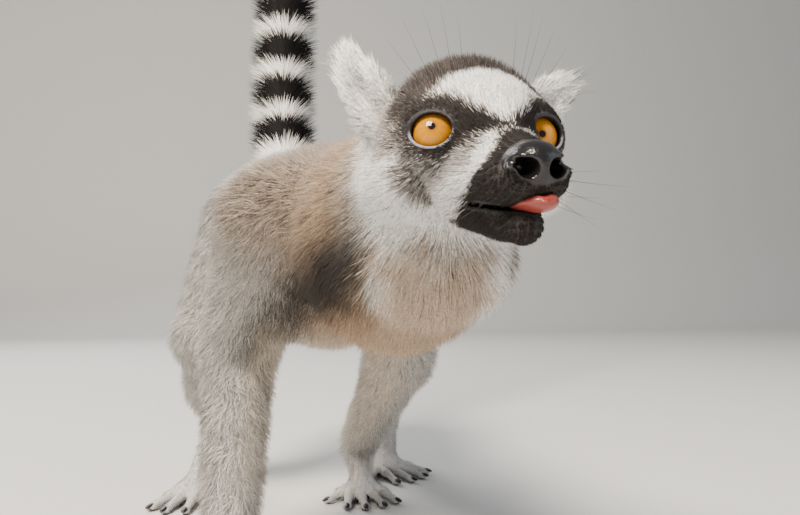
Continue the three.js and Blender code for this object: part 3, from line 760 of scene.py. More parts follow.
def markings(points, share, normals):
    """The colour of the coat at points of the skin: each region's own colours, in its share, with painted
    shade in the fur's fold at the neck and shoulder and painted shade with warm bounce light on the throat
    and chest.
    """
    h = to_head(points)
    x, y, z = points.T
    blank = np.ones((len(points), 1))
    belly = step_up(normals[:, 2], -0.3, -0.8)
    back = painted(blank * GOLD, BACK, step_up(y, -150, -62))
    back = painted(back, PALE_GREY, 0.8 * step_up(y, -60, 60))
    back = painted(back, PALE_GREY, 0.7 * step_up(z, 195, 150) * step_up(y, -110, -65))
    # the lower chest is painted tan over the cream: painted shade with warm bounce light from below
    bounce_lit_chest = step_up(y, -45, -75) * step_up(z, 158, 138)
    trunk = painted(painted(back, CREAM, belly), BOUNCE_LIT_TAN, 0.8 * bounce_lit_chest)
    # the white of the throat and cheeks ends in a curve round the neck; behind it, and along a fold from
    # the neck down to the shoulder, the fur is painted dark grey as painted shade where it parts
    behind = y + 162 - 0.03 * np.maximum(z - 180, 0) ** 2 - 13 * step_up(z, 164, 143)
    collar = step_up(behind, 4, -4) * step_up(z, 214, 202)
    neck = painted(back, WHITE, collar)
    fold_shade = 0.75 * step_up(behind, 26, 6) * step_up(z, 200, 162) * step_up(z, 138, 152)
    off = points - (17, 0, 0)
    off = np.abs(off) * (1, 0, 0) + off * (0, 1, 1)
    fold = near_line(off, (27.5, -153, 163), (38, -95, 147), 11, 13)
    fold = np.minimum(fold, near_line(off, (38, -95, 147), (52, -50, 119), 13, 12))
    wisps = noise(points, 13, 33)
    fold_shade = (np.maximum(fold_shade, step_up(fold + 0.15 * wisps, 1.8, 0.35)) * step_up(behind, -4, 4))[:, None]
    # the throat is painted tan over the cream: painted shade with warm bounce light from below
    throat = step_up(np.abs(x - 17) + 5 * wisps, 22, 13) * step_up(z + 4 * wisps, 170, 157)
    fold_shade = fold_shade * (1 - throat[:, None])
    # below the collar the neck is painted tan as well: painted shade with warm bounce light
    neck = painted(neck, BOUNCE_LIT_TAN, 0.7 * step_up(z, 150, 138) * step_up(behind, 2, 10))
    neck = painted(neck, mix(CREAM, BOUNCE_LIT_TAN, 0.75), 0.92 * throat)
    shadow = mix(DARK_GREY, CHARCOAL, 0.4)
    trunk, neck = mix(trunk, shadow, fold_shade), mix(neck, shadow, fold_shade)
    inner = step_up(normals[:, 0] * np.sign(x - MIDLINE), 0.2, -0.5)
    mottle = step_up(noise(points, 9, 21), 0.0, 0.7) * 0.55
    arm = painted(blank * mix(PALE_GREY, WHITE, 0.15), UMBER, mottle)
    arm = painted(arm, back, step_up(z, 125, 178))
    # the painted shade of the fold reaches on to the top of the arm
    arm = mix(arm, shadow, 0.9 * fold_shade)
    arm = painted(arm, CREAM, 0.75 * inner * step_up(z, 30, 70))
    leg = mix(blank * PALE_GREY, WHITE, np.maximum(0.4 * step_up(z, 70, 40), 0.7 * inner)[:, None])
    leg = painted(leg, UMBER, 0.4 * mottle)
    under = step_up(normals[:, 2], -0.35, -0.75)
    paw = painted(blank * mix(PALE_GREY, WHITE, 0.45), BARE_BLACK * 1.6, under)
    ear = blank * WHITE
    run = tail_place(points)
    ring = (run - FIRST_RING) / RING_EVERY
    black = step_up(np.abs(ring - np.floor(ring) - 0.47), 0.38, 0.31) * step_up(ring, -0.1, 0.05)
    black = np.maximum(black, step_up(run, TAIL_RUN[-1] - 52, TAIL_RUN[-1] - 44))
    tail = painted(blank * WHITE * 0.92, PALE_GREY, step_up(run, 40, 10))
    tail = painted(tail, BLACK_COAT, black)
    by_region = dict(
        trunk=trunk, neck=neck, head=head_colours(h), ear=ear, arm=arm, hand=paw, leg=leg, foot=paw,
        tail=tail,
    )
    return sum(share[:, k, None] * by_region[name] for k, name in enumerate(REGIONS))


# ---- The lie of the coat -------------------------------------------------------------------------
REGIONS = ("trunk", "neck", "head", "ear", "arm", "hand", "leg", "foot", "tail")
AT = {name: k for k, name in enumerate(REGIONS)}


def traits(points):
    """For points of the skin: their share in each region, the lie of the hair there and its length.
    Every form has a say by exp(-distance / 5 mm)."""
    share = np.full((len(points), len(REGIONS)), 1e-9)
    lie, hair = np.zeros((len(points), 3)), np.zeros(len(points))
    for form in SKIN_FORMS:
        if form.carves:
            continue
        near = ((points > form.low - 12) & (points < form.high + 12)).all(axis=1)
        if not near.any():
            continue
        w = np.exp(-np.maximum(form.field(points[near]) + form.coat, 0) / 5)
        share[near, AT[form.name]] += w
        lie[near] += w[:, None] * np.asarray(form.lie, float)
        hair[near] += w * form.hair
    total = share.sum(1)
    share, hair = share / total[:, None], hair / total
    h = to_head(points)
    headward = share[:, AT["head"]] + 0.35 * share[:, AT["neck"]] * step_up(points[:, 1], -120, -150)
    lie = mix(lie, head_lie(h) * np.maximum(total, 1)[:, None], np.clip(headward, 0, 1)[:, None])
    hair = mix(hair, head_hair(h), share[:, AT["head"]])
    tip = step_up(np.abs(h[:, 0]) + h[:, 2], 46, 64)
    hair = hair * mix(1.0, 0.6 + 0.75 * tip, share[:, AT["ear"]])
    rise = share[:, AT["head"]] * 0.5 * step_up(h[:, 2], 10, 20) * step_up(h[:, 1], -1, -7)
    rise = rise * step_up(np.abs(h[:, 0]), 30, 20)
    return dict(share=share, lie=lie, hair=hair, rise=rise)


def head_lie(h):
    """On the face the hair runs from the nose back over the head, parting round the eyes and falling at the
    cheeks."""
    away = unit(h - np.array([0, 36, -9]))
    for s in (-1, 1):
        v = h - eye_at(s)
        reach = np.linalg.norm(v, axis=1, keepdims=True)
        away = away + 1.2 * unit(v) * np.exp(-np.maximum(reach - 9, 0) / 4)
    cheek = step_up(np.abs(h[:, 0]), 20, 34) * step_up(h[:, 2], 4, -12)
    away = away + cheek[:, None] * np.array([0, -0.3, -0.9])
    return away @ HEAD


def head_hair(h):
    """Length of the hair on the head, in mm: 1.3 on the muzzle, 1.5 at the lids, 4.4 on the brow, 8 on
    the crown, 10 on the cheeks and 15 behind them."""
    x, y, z = h.T
    length = 4.4 + 3.5 * step_up(z, 12, 24) * step_up(y, 1, -8)
    length = length + 6 * step_up(np.abs(x), 20, 38) * step_up(z, 8, -14)
    length = length + 5 * step_up(y, -15, -45) * step_up(z, 20, 0)
    past = np.minimum(past_lids(h, -1)[0], past_lids(h, 1)[0])
    length = mix(1.5, length, step_up(past, 0.5, 9))
    return mix(length, 1.3, step_up(y + 0.25 * np.minimum(z + 10, 0), 16, 23))


NOSE_PAD = ((0, 38.8, -10.3), (8.6, 7.8, 6.6))  # its middle and half sizes


def nose_place(h):
    """How many half sizes each point is from the middle of the nose pad."""
    return np.linalg.norm((h - NOSE_PAD[0]) / NOSE_PAD[1], axis=1)


def bare(points):
    """True where no hair grows: the nose, the rims of the lids, the lips and the mouth."""
    h = to_head(points)
    eyes = np.minimum(past_lids(h, -1)[0], past_lids(h, 1)[0]) < 0.7
    inside = np.minimum(*(np.linalg.norm(h - eye_at(s), axis=1) for s in (-1, 1))) < EYE_RADIUS + 0.4
    level = MOUTH_LEVEL + MOUTH_BOW * h[:, 0] ** 2
    mouth = (np.abs(h[:, 2] - level) < 0.9) & (h[:, 1] > 14) & (np.abs(h[:, 0]) < 12)
    return (nose_place(h) < 1.03) | eyes | inside | mouth


def noise(points, size, seed=0):
    """A smooth field of -1 to 1: the mean of five plane waves of that size in seeded directions."""
    rng = np.random.default_rng(SEED + seed)
    ways = unit(rng.normal(size=(5, 3))) * (2 * math.pi / size) * rng.uniform(0.7, 1.4, (5, 1))
    return np.sin(points @ ways.T + rng.uniform(0, 6.28, 5)).mean(axis=1) * 1.6


def across_skin(v, normals):
    """Vectors laid flat on the skin and made of length one."""
    return unit(v - (v * normals).sum(1, keepdims=True) * normals)


class Skin:
    """The skin's mesh with what each of its points knows."""

    def __init__(self):
        self.points, self.faces = skin_mesh()
        self.normals = unit(slope(self.points))
        self.traits = traits(self.points)
        a, b, c = (self.points[self.faces[:, k]] for k in range(3))
        self.areas = np.linalg.norm(np.cross(b - a, c - a), axis=1) / 2
        self.bare = bare(self.points)

    def roots(self, wanted, count, rng):
        """Places of that many hairs: evenly spaced draws from the triangles, weighed by their area and
        by wanted, then a random point of each."""
        weight = self.areas * wanted[self.faces].mean(axis=1) * ~self.bare[self.faces].any(axis=1)
        total = np.cumsum(weight)
        face = np.searchsorted(total, (np.arange(count) + rng.uniform(0, 1, count)) * total[-1] / count)
        face = np.minimum(face, len(weight) - 1)
        u, v = np.sqrt(rng.uniform(0, 1, count)), rng.uniform(0, 1, count)
        part = np.stack([1 - u, u * (1 - v), u * v], axis=1)[:, :, None]
        corners = self.faces[face]

        def at(values):
            return (values[corners] * part).sum(axis=1)

        return dict(
            points=at(self.points), normals=unit(at(self.normals)), share=at(self.traits["share"]),
            lie=at(self.traits["lie"]), hair=at(self.traits["hair"][:, None])[:, 0],
            rise=at(self.traits["rise"][:, None])[:, 0],
        )


def clumped(root, tip, size, pull, rng):
    """Tips drawn towards the middle of their clump. A clump is the roots in one cell of a grid of that
    size, whose cells are bent by a slow wave so that no row shows."""
    bent = root + 0.5 * size * np.stack([noise(root, size * 5, k) for k in (1, 2, 3)], axis=1)
    cell = np.floor(bent / size).astype(int)
    _, which = np.unique(cell, axis=0, return_inverse=True)
    which = which.ravel()
    many = np.bincount(which)
    middle = np.stack([np.bincount(which, tip[:, c]) / many for c in range(3)], axis=1)
    return tip + (middle[which] - tip) * pull


def locks(name, skin, wanted, count, material, *, width, bent, stand=(0.55, 0.25), clump=6.0, pull=0.35,
          splay=0.25, droop=0.0, tick=0.25, streaks=0.55, speckle=0.2, jitter=1.5, flat=None):
    """One piece of coat: tapering locks of three sides, either straight or bent once. Each grows from
    its root along the lie of the hair, lifted off the skin by the angles in stand at its root and beyond
    its bend."""
    rng = np.random.default_rng(SEED + sum(map(ord, name)))
    root = skin.roots(wanted, count, rng)
    p, n, share = root["points"], root["normals"], root["share"]
    along = across_skin(root["lie"] + 1e-6, n)
    side = np.cross(n, along)
    turn = rng.normal(0, splay, count) + (0.1 + splay) * noise(p, 14, 7)
    along = along * np.cos(turn)[:, None] + side * np.sin(turn)[:, None]
    side = np.cross(n, along)
    length = root["hair"] * rng.uniform(0.72, 1.25, count)
    lift = root["rise"] + rng.normal(0, 0.10, count)
    first, second = stand[0] + lift, stand[1] + lift
    near = n * np.sin(first)[:, None] + along * np.cos(first)[:, None]
    far = n * np.sin(second)[:, None] + along * np.cos(second)[:, None]
    far = unit(far + np.array([0, 0, -droop]))
    tip = p + length[:, None] * (0.45 * near + 0.55 * far)
    tip = clumped(p, tip, clump, pull, rng)
    middle = mix(p, tip, 0.45) + n * (length * 0.06)[:, None]
    if flat is not None:
        for q in (middle, tip):
            q[:, 2] = np.maximum(q[:, 2], flat)
    half = 0.5 * width * rng.uniform(0.7, 1.3, count)[:, None]
    sunk = p - n * 0.4
    ring = [sunk - side * half, sunk + side * half, sunk + n * (half * 0.8)]
    points = list(ring)
    if bent:
        points += [middle - side * half * 0.8, middle + side * half * 0.8, middle + n * (half * 0.7)]
    points.append(tip)
    m = len(points)
    points = np.stack(points, axis=1).reshape(-1, 3)
    around = ((0, 1), (1, 2), (2, 0))
    corner = [(2, 1, 0)]
    if bent:
        corner += [(a, b, b + 3) for a, b in around] + [(a, b + 3, a + 3) for a, b in around]
        corner += [(a + 3, b + 3, 6) for a, b in around]
    else:
        corner += [(a, b, 3) for a, b in around]
    corner = np.array(corner)
    faces = (np.arange(count)[:, None, None] * m + corner[None]).reshape(-1, 3)

    colour = markings(p + rng.normal(0, jitter, (count, 3)), share, n)
    # light and dark hairs are most mixed where the coat is grey
    grey = np.clip(1 - np.abs(colour.mean(axis=1) - 0.17) / 0.17, 0, 1)
    shade = rng.normal(0, 1, count) * (tick * 0.45 + speckle * grey) + 0.10 * noise(p, 9, 11)
    dark = rng.uniform(0, 1, count) < tick * 0.35
    shade = np.where(dark, shade - streaks, shade)
    colour = np.clip(colour * np.exp(shade)[:, None], 0.003, 0.92)
    # each lock is painted darker at its root, as painted shade deep in the coat, less so where the coat is
    # light, and lighter at its tip as painted light
    foot = mix(0.78, 0.98, step_up(colour.mean(axis=1), 0.5, 0.8))
    root_to_tip_shading = [foot] * 3 + ([0.5 * (foot + 1.1)] * 3 if bent else []) + [np.full(count, 1.1)]
    colours = np.clip(colour[:, None, :] * np.stack(root_to_tip_shading, axis=1)[:, :, None], 0, 0.95).reshape(-1, 3)

    uv = atlas(p, share)
    spot = 0.003
    local = [(0, 0), (spot, 0), (spot / 2, 0)]
    if bent:
        local += [(0, spot / 2), (spot, spot / 2), (spot / 2, spot / 2)]
    local.append((spot / 2, spot))
    uv = (uv[:, None, :] + np.array(local)[None]).reshape(-1, 2)
    piece = new_piece(name, points, faces, material, uv[faces.ravel()], {"Coat": colours})
    own = np.stack([-side, side, n] + ([-side, side, n] if bent else []) + [along], axis=1).reshape(-1, 3)
    soft = unit(np.repeat(n, m, axis=0) + 0.45 * own)
    piece.data.normals_split_custom_set_from_vertices(soft.astype(np.float32))
    return piece


def atlas(points, share):
    """The skin laid flat, region by region, all in the same square but each limb in a quarter of it across:
    the head as a disc about the line of its nose, the rest as sheets unrolled from round their long axes."""
    h = to_head(points)
    ahead = unit(h - np.array([0, -14, -4]))
    off = np.arccos(np.clip(ahead[:, 1], -1, 1)) / math.pi
    turn = np.arctan2(ahead[:, 2], ahead[:, 0])
    disc = 0.5 + 0.48 * off[:, None] * np.stack([np.cos(turn), np.sin(turn)], axis=1)
    x, y, z = points.T
    body = np.stack([np.arctan2(z - 175, x - MIDLINE) / (2 * math.pi) + 0.5, (y + 160) / 400], axis=1)
    mid = np.where(x < MIDLINE, -48.0, 54.0)
    limb = np.stack([
        (np.arctan2(y - np.where(y < 70, -30, 120) - (170 - z) * 0.1, x - mid) / (2 * math.pi) + 0.5) * 0.23
        + 0.25 * ((x > MIDLINE) + 2 * (y > 70)),
        z / 260,
    ], axis=1)
    run = tail_place(points)
    line = np.stack([np.interp(run, TAIL_RUN, TAIL[:, c]) for c in range(3)], axis=1)
    around = points - line
    round_tail = np.arctan2(around[:, 0], around[:, 1]) / (2 * math.pi) + 0.5
    band = np.stack([round_tail, run / TAIL_RUN[-1]], axis=1)
    kind = share.argmax(axis=1)
    uv = np.select(
        [
            np.isin(kind, (AT["head"], AT["ear"]))[:, None],
            np.isin(kind, (AT["trunk"], AT["neck"]))[:, None],
            (kind == AT["tail"])[:, None],
        ],
        [disc, body, band], limb,
    )
    return np.clip(uv, 0.002, 0.995)


# ---- Materials -----------------------------------------------------------------------------------
def add(tree, kind, settings=None, **links):
    """A node of that kind with its settings, its inputs linked to other nodes' outputs or set to values."""
    node = tree.nodes.new(kind)
    for key, value in (settings or {}).items():
        setattr(node, key, value)
    for key, value in links.items():
        socket = node.inputs[int(key[1:]) if key[0] == "i" and key[1:].isdigit() else key.replace("_", " ")]
        if isinstance(value, bpy.types.NodeSocket):
            tree.links.new(value, socket)
        else:
            socket.default_value = value
    return node


def surface(name, **values):
    """A new material and its Principled shader, with constants set on the shader's own sockets."""
    material = bpy.data.materials.new(name)
    material.use_nodes = True
    tree = material.node_tree
    shader = tree.nodes["Principled BSDF"]
    for key, value in values.items():
        shader.inputs[key.replace("_", " ")].default_value = value
    return material, tree, shader


def hair_coat():
    """Guard hair: a soft broad gloss, in the colours that each lock carries, lighter and darker every
    0.9 mm."""
    material, tree, shader = surface("lemur_hair", Roughness=0.65, Specular_IOR_Level=0.12)
    colour = add(tree, "ShaderNodeAttribute", dict(attribute_name="Coat"))
    where = add(tree, "ShaderNodeTexCoord")
    grain = add(tree, "ShaderNodeTexNoise", Vector=where.outputs["Object"], Scale=1100.0, Detail=2.0)
    level = add(tree, "ShaderNodeMapRange", i0=grain.outputs[0], i1=0.3, i2=0.7, i3=0.62, i4=1.3)
    banded = add(
        tree, "ShaderNodeVectorMath", dict(operation="SCALE"), i0=colour.outputs["Color"],
        Scale=level.outputs[0],
    )
    tree.links.new(banded.outputs[0], shader.inputs["Base Color"])
    return material


def hide():
    """The skin: close underfur with a relief of 1.1 mm over most of it, and at the nose, from the map of
    wet places, wet leather with pebbles of 0.6 mm."""
    material, tree, shader = surface("lemur_hide", Roughness=0.7)
    colour = add(tree, "ShaderNodeAttribute", dict(attribute_name="Coat"))
    wet = add(tree, "ShaderNodeAttribute", dict(attribute_name="Wet"))
    split = add(tree, "ShaderNodeSeparateColor", Color=wet.outputs["Color"])
    rough = add(tree, "ShaderNodeMapRange", i0=split.outputs[0], i3=0.8, i4=0.24)
    where = add(tree, "ShaderNodeTexCoord")
    pebble = add(tree, "ShaderNodeTexVoronoi", Vector=where.outputs["Object"], Scale=1600.0)
    down = add(tree, "ShaderNodeTexNoise", Vector=where.outputs["Object"], Scale=900.0, Detail=4.0)
    relief = add(tree, "ShaderNodeMix", i0=split.outputs[0], i2=down.outputs[0], i3=pebble.outputs[0])
    bump = add(tree, "ShaderNodeBump", Height=relief.outputs[0], Distance=0.00015, Strength=0.4)
    tree.links.new(colour.outputs["Color"], shader.inputs["Base Color"])
    tree.links.new(rough.outputs[0], shader.inputs["Roughness"])
    tree.links.new(bump.outputs[0], shader.inputs["Normal"])
    return material


def wet_eye():
    """A glass-clear cornea over the iris: almost no roughness, with the iris's colours below."""
    material, tree, shader = surface("wet_cornea", Roughness=0.03, IOR=1.38)
    colour = add(tree, "ShaderNodeAttribute", dict(attribute_name="Coat"))
    tree.links.new(colour.outputs["Color"], shader.inputs["Base Color"])
    return material


def tongue_flesh():
    """A living tongue: dark pink and wet, with papillae of 0.7 mm, and light scattering a little way in."""
    material, tree, shader = surface("wet_tongue", Roughness=0.3, Subsurface_Weight=0.25)
    shader.inputs["Subsurface Radius"].default_value = (0.003, 0.001, 0.0006)
    where = add(tree, "ShaderNodeTexCoord")
    spots = add(tree, "ShaderNodeTexNoise", Vector=where.outputs["Object"], Scale=1400.0, Detail=3.0)
    ramp = add(tree, "ShaderNodeMix", dict(data_type="RGBA"), i0=spots.outputs[0])
    ramp.inputs[6].default_value = (*linear("#782824"), 1)
    ramp.inputs[7].default_value = (*linear("#9a4841"), 1)
    bump = add(tree, "ShaderNodeBump", Height=spots.outputs[0], Distance=0.0002, Strength=0.5)
    tree.links.new(ramp.outputs[2], shader.inputs["Base Color"])
    tree.links.new(bump.outputs[0], shader.inputs["Normal"])
    return material


def horn():
    """Nails and whiskers: dark smooth horn with a soft gloss."""
    material, _, shader = surface("dark_horn", Roughness=0.35)
    shader.inputs["Base Color"].default_value = (*linear("#1b1716"), 1)
    return material


# ---- Small parts ---------------------------------------------------------------------------------
def grid_faces(rows, columns, closed=True):
    """Triangles of a grid of rows by columns; closed joins its last column to its first."""
    r, c = np.meshgrid(np.arange(rows - 1), np.arange(columns if closed else columns - 1), indexing="ij")
    a, b = r * columns + c, r * columns + (c + 1) % columns
    quads = np.stack([a, b, b + columns, a + columns], axis=-1).reshape(-1, 4)
    return np.vstack([quads[:, [0, 1, 2]], quads[:, [0, 2, 3]]])


def eye(side, material):
    """An eyeball turned about its gaze. At the angle t from the gaze its radius is 0.35 mm under
    EYE_RADIUS, and up to 0.45 mm more over the cornea, falling off as exp(-(t / 0.66)^4). The iris is
    streaked from its pupil out."""
    rng = np.random.default_rng(SEED + side)
    t = np.concatenate([np.linspace(0, 1.1, 70), np.linspace(1.14, math.pi, 26)])[:, None]
    turn = np.linspace(0, 2 * math.pi, 144, endpoint=False)[None, :]
    radius = EYE_RADIUS - 0.35 + 0.45 * np.exp(-((t / 0.66) ** 4))
    rows = rows_for(way(side, GAZE))
    shell = np.stack([
        radius * np.sin(t) * np.cos(turn), radius * np.cos(t) * np.ones_like(turn),
        radius * np.sin(t) * np.sin(turn),
    ], axis=-1)
    points = from_head(shell.reshape(-1, 3) @ rows + eye_at(side))
    out = (t * EYE_RADIUS * np.ones_like(turn)).ravel()
    spin = (turn * np.ones_like(t)).ravel()
    streak = sum(
        rng.uniform(0.5, 1) * np.sin(k * spin + rng.uniform(0, 6.28) + 0.25 * out)
        for k in rng.integers(9, 60, 12)
    ) / 6
    amber, orange, rim = linear("#c58808"), linear("#a15f03"), linear("#3a1c08")
    colour = mix(amber, orange, np.clip(0.35 + 0.3 * streak + 0.25 * step_up(out, 4.5, 6.8), 0, 1)[:, None])
    colour = mix(colour, orange * 0.8, step_up(out, PUPIL_RADIUS + 1.2, PUPIL_RADIUS + 0.3)[:, None] * 0.6)
    colour = painted(colour, rim, step_up(out, IRIS_RADIUS + 0.2, IRIS_RADIUS + 0.9))
    colour = painted(colour, BARE_BLACK, step_up(out, PUPIL_RADIUS + 0.25, PUPIL_RADIUS - 0.1))
    name = "eye_right" if side < 0 else "eye_left"
    piece = new_piece("eyeball_" + name[4:], points, grid_faces(len(t), turn.size)[:, ::-1], material, None,
                      {"Coat": colour})
    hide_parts(name)


def tongue(material):
    """A tongue's tip that curls over the lip. Along it u runs from root to tip; its half width and half
    thickness follow the root of 1 - (2u - 1)^4, its middle is grooved, and it rises a little at the end."""
    u = np.linspace(0, 1, 40)[:, None]
    turn = np.linspace(0, 2 * math.pi, 48, endpoint=False)[None, :]
    shape = np.sqrt(np.clip(1 - (2 * u - 1) ** 4, 0, 1))
    half, thick = 5.4 * shape * (0.88 + 0.14 * u), 2.6 * shape * (1 + 0.25 * np.cos(turn))
    x = half * np.cos(turn)
    z = thick * np.sin(turn) - 0.9 * np.exp(-((x / 1.6) ** 2)) * (np.sin(turn) > 0) * np.sin(turn) * shape
    y = 25 + 19.2 * u - 0.03 * x**2 + 0 * turn
    z = z - 21.2 + 1.2 * u**2
    points = from_head(np.stack([x + 1.5, y, z], axis=-1).reshape(-1, 3))
    piece = new_piece("tongue_tip", points, grid_faces(len(u), turn.size), material)
    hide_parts("tongue")


def nails(material):
    """Flat nails, one on each digit: a curved shield over the tip, whose outline is an ellipse."""
    u = np.linspace(0.02, math.pi - 0.02, 9)[:, None]
    turn = np.linspace(0, 2 * math.pi, 16, endpoint=False)[None, :]
    points, faces = [], []
    for tip, heading, size in NAILS:
        rows = rows_for(unit(heading + np.array([0, 0, -0.25])))
        q = np.stack([
            size * 0.62 * np.sin(u) * np.cos(turn), -size * 1.15 * np.cos(u) * np.ones_like(turn),
            size * 0.34 * np.sin(u) * np.sin(turn),
        ], axis=-1).reshape(-1, 3)
        at = tip + heading * size * 0.75 + np.array([0, 0, size * 0.42])
        faces.append(grid_faces(len(u), turn.size) + sum(len(v) for v in points))
        points.append(q @ rows + at)
    piece = new_piece("nails", np.vstack(points), np.vstack(faces), material)


# One side's whiskers and brow bristles in the head's frame: root, the way it sets off and length.
WHISKERS = [
    ((13, 0, 16), (0.32, 0.1, 1.0), 24), ((16, -2, 16), (0.5, 0.05, 1.0), 23),
    ((11, 2, 17), (0.2, 0.15, 1.0), 24), ((18, -3, 14), (0.8, 0.05, 1.0), 21),
    ((8, 3, 18), (0.1, 0.1, 1.0), 19), ((9, 33, -14), (1.0, 0.1, -0.15), 24),
    ((9.5, 30, -16), (1.0, -0.1, -0.35), 26), ((9, 28, -12), (1.0, -0.2, 0.0), 22),
    ((9, 31, -19), (0.9, 0.1, -0.6), 18), ((28, -6, -18), (1.0, -0.3, -0.1), 26),
    ((30, -8, -22), (1.0, -0.35, -0.3), 24),
]


def whiskers(material):
    """Long stiff hairs, each a fine tapering rod along a curve: root, the way it sets off, its length
    and its bend."""
    rows = []
    for s in (-1, 1):
        rows += [
            ((s * x, y, z), (s * dx, dy, dz), length, (0, -0.25, 0.1))
            for (x, y, z), (dx, dy, dz), length in WHISKERS
        ]
    root, way, length, bend = (np.array(v, float) for v in zip(*rows))
    t = np.linspace(0, 1, 9)[None, :, None]
    line = root[:, None] + length[:, None, None] * (t * unit(way)[:, None] + 0.5 * t**2 * bend[:, None])
    turn = np.arange(4) * math.pi / 2
    up = unit(np.cross(way, (0.3, 0.5, 0.8)))
    side = unit(np.cross(way, up))
    around = np.cos(turn)[:, None, None] * up + np.sin(turn)[:, None, None] * side
    radius = 0.085 * (1 - 0.85 * t)
    points = line[:, :, None, :] + radius[..., None] * np.moveaxis(around, 0, 1)[:, None]
    each = grid_faces(t.size, turn.size)
    faces = (np.arange(len(root))[:, None, None] * t.size * turn.size + each[None]).reshape(-1, 3)
    piece = new_piece("whiskers", from_head(points.reshape(-1, 3)), faces, material)


# ---- The animal ----------------------------------------------------------------------------------
hair, leather = hair_coat(), hide()
skin = Skin()
share = skin.traits["share"]
head_points = to_head(skin.points)
skin_colour = markings(skin.points, share, skin.normals) * 0.8
wet = step_up(nose_place(head_points), 1.12, 1.02)
skin_colour = painted(skin_colour, BARE_BLACK, wet)
for one in (-1, 1):
    past, height = past_lids(head_points, one)
    lower = step_up(height, 0.5, -2.0)
    upper = step_up(height, 1.0, 3.0)
    skin_colour = painted(skin_colour, BARE_BLACK, step_up(past, 2.2, 1.0))
    # a pale lilac band on the rim of the lower lid and a faint one above the upper: a painted highlight on
    # the wet rims
    pale = lower * step_up(past, -0.1, 0.15) * step_up(past, 0.95, 0.6)
    pale = np.maximum(pale, 0.12 * upper * step_up(past, 0.9, 1.2) * step_up(past, 2.2, 1.8))
    skin_colour = painted(skin_colour, LID_RIM_HIGHLIGHT, 0.65 * pale)
    wet = np.maximum(wet, 0.6 * step_up(past, 1.0, 0.2))
body_skin = new_piece(
    "skin", skin.points, skin.faces, leather, None,
    {"Coat": np.clip(skin_colour, 0, 0.9), "Wet": np.repeat(wet[:, None], 3, axis=1)},
)
FLESH = ["trunk", "neck", "head", "jaw", "nose_pad"] + [
    part + side for side in ("left", "right")
    for part in ("upper_arm_", "forearm_", "hand_", "thigh_", "shank_", "foot_", "ear_")
] + ["tail_%d" % k for k in range(1, 6)]
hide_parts(*FLESH)

cornea = wet_eye()
for one in (-1, 1):
    eye(one, cornea)
tongue(tongue_flesh())
dark_horn = horn()
nails(dark_horn)
whiskers(dark_horn)

head_share = share[:, AT["head"]]
hx, hy = head_points[:, 0], head_points[:, 1]
face = step_up(hy, -20, -10)
right = skin.points[:, 0] < MIDLINE
neck_right = skin.points[:, 0] < 15  # the neck is turned, and its middle with it
WOOL = dict(width=0.52, bent=False, clump=4.0, pull=0.15, jitter=4, stand=(0.6, 0.38), splay=0.3)
FACE = dict(width=0.4, bent=False, clump=2.2, jitter=0.9, tick=0.3, streaks=1.1, speckle=0.9)
RUFF = dict(width=0.58, bent=False, clump=5, jitter=2, stand=(0.6, 0.35), droop=0.12, tick=0.12)
ARMS = dict(WOOL, clump=4, pull=0.25, jitter=2.5, stand=(0.75, 0.5), splay=0.5, speckle=0.35, flat=0.4)
COAT = [
    ("coat_face_right", head_share * face * (hx < 0.5), 41000, FACE),
    ("coat_face_left", head_share * face * (hx > -0.5), 30000, FACE),
    ("coat_crown", head_share * (1 - face), 20000, dict(FACE, width=0.5, clump=3, jitter=1.2, splay=0.35)),
    ("coat_ears", share[:, AT["ear"]], 8000,
     dict(width=0.45, bent=True, clump=3.5, pull=0.5, stand=(0.5, 0.25), jitter=0.5, tick=0.06)),
    ("coat_neck_right", share[:, AT["neck"]] * neck_right, 28000, RUFF),
    ("coat_neck_left", share[:, AT["neck"]] * ~neck_right, 22000, RUFF),
    ("coat_trunk_right", share[:, AT["trunk"]] * right, 43000, WOOL),
    ("coat_trunk_left", share[:, AT["trunk"]] * ~right, 43000, WOOL),
    ("coat_arms", share[:, AT["arm"]], 46000, ARMS),
    ("coat_legs", share[:, AT["leg"]], 42000, dict(WOOL, jitter=3, width=0.6, flat=0.4)),
    ("coat_tail", share[:, AT["tail"]], 34000,
     dict(width=0.85, bent=False, clump=4, pull=0.25, jitter=1.2, stand=(1.3, 1.15), splay=0.3, tick=0.1)),
    ("coat_paws", share[:, AT["hand"]] + share[:, AT["foot"]], 14000,
     dict(width=0.5, bent=False, clump=3, jitter=1.5, stand=(0.4, 0.2), flat=0.4)),
]
for name, wanted, count, ways in COAT:
    piece = locks(name, skin, wanted, count, hair, **ways)

# ---- Floor, light and camera ---------------------------------------------------------------------
def plain(name, colour, roughness):
    """A material of one colour, for the paper of the studio."""
    material, _, shader = surface(name, Roughness=roughness)
    shader.inputs["Base Color"].default_value = (*linear(colour), 1)
    return material


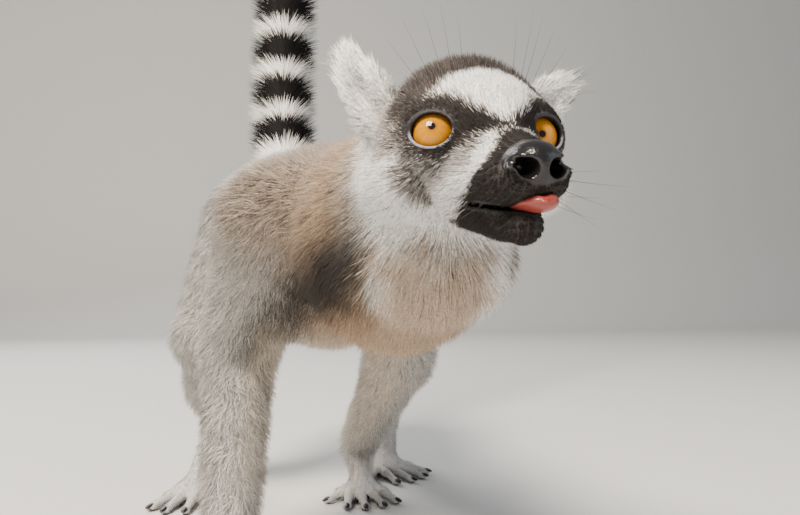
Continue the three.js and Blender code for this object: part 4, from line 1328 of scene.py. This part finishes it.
def floor_and_backdrop():
    """One sheet: a flat floor that turns up behind the animal in a quarter circle of 0.6 m."""
    bend = np.linspace(0, math.pi / 2, 16)
    run = np.concatenate([[-12.0], 2.2 + 0.6 * np.sin(bend), [2.8]])
    rise = np.concatenate([[0.0], 0.6 - 0.6 * np.cos(bend), [4.0]])
    x = np.array([-12.0, 12.0])
    points = np.stack([np.repeat(x, len(run)), np.tile(run, 2), np.tile(rise, 2)], axis=-1) / MM - STAND
    quads = grid_faces(2, len(run), closed=False)
    sheet = new_piece("studio_floor", points, quads, plain("pale_paper", "#d9d8d5", 0.9))


floor_and_backdrop()


def lamp(name, at, target, size, watts, colour="#ffffff"):
    """A soft square light of that size, aimed at a point."""
    data = bpy.data.lights.new(name, "AREA")
    data.energy, data.size, data.color = watts, size, tuple(linear(colour))
    light = bpy.data.objects.new(name, data)
    bpy.context.scene.collection.objects.link(light)
    aim(light, at, target)


def aim(thing, at, target):
    """Puts a thing at a point, its -Z towards another and its Y up: the columns are right, up and back."""
    back = unit(np.array(at, float) - np.array(target, float))
    right = unit(np.cross((0, 0, 1), back))
    turned_to = np.eye(4)
    turned_to[:3, :3] = np.stack([right, np.cross(back, right), back], axis=1)
    turned_to[:3, 3] = at
    thing.matrix_world = Matrix(turned_to.tolist())


lamp("key", (-1.1, -1.1, 1.7), (0, -0.1, 0.2), 0.7, 124, "#fff3e2")
lamp("fill", (1.6, -1.2, 0.7), (0, 0, 0.2), 1.6, 10, "#eef3ff")
lamp("back", (-0.6, 1.6, 1.5), (0, 0, 0.3), 1.0, 30)
world = bpy.data.worlds.new("studio")
world.use_nodes = True
world.node_tree.nodes["Background"].inputs[0].default_value = (0.82, 0.86, 0.92, 1)
world.node_tree.nodes["Background"].inputs[1].default_value = 0.45
bpy.context.scene.world = world

CAMERA_LENS, CAMERA_FILM = 29.25, 36.0  # focal length and width of the film, in mm
camera_data = bpy.data.cameras.new("camera")
camera_data.lens, camera_data.sensor_width = CAMERA_LENS, CAMERA_FILM
camera = bpy.data.objects.new("camera", camera_data)
bpy.context.scene.collection.objects.link(camera)
CAMERA_AT = np.array([-0.06945, -0.42744, 0.141])
CAMERA_UP = math.radians(3.74)
CAMERA_HEADING = (0.284, 0.9588)
ahead = np.array([*(v * math.cos(CAMERA_UP) for v in CAMERA_HEADING), math.sin(CAMERA_UP)])
aim(camera, CAMERA_AT, CAMERA_AT + ahead)
camera_data.clip_start = 0.01
bpy.context.scene.camera = camera
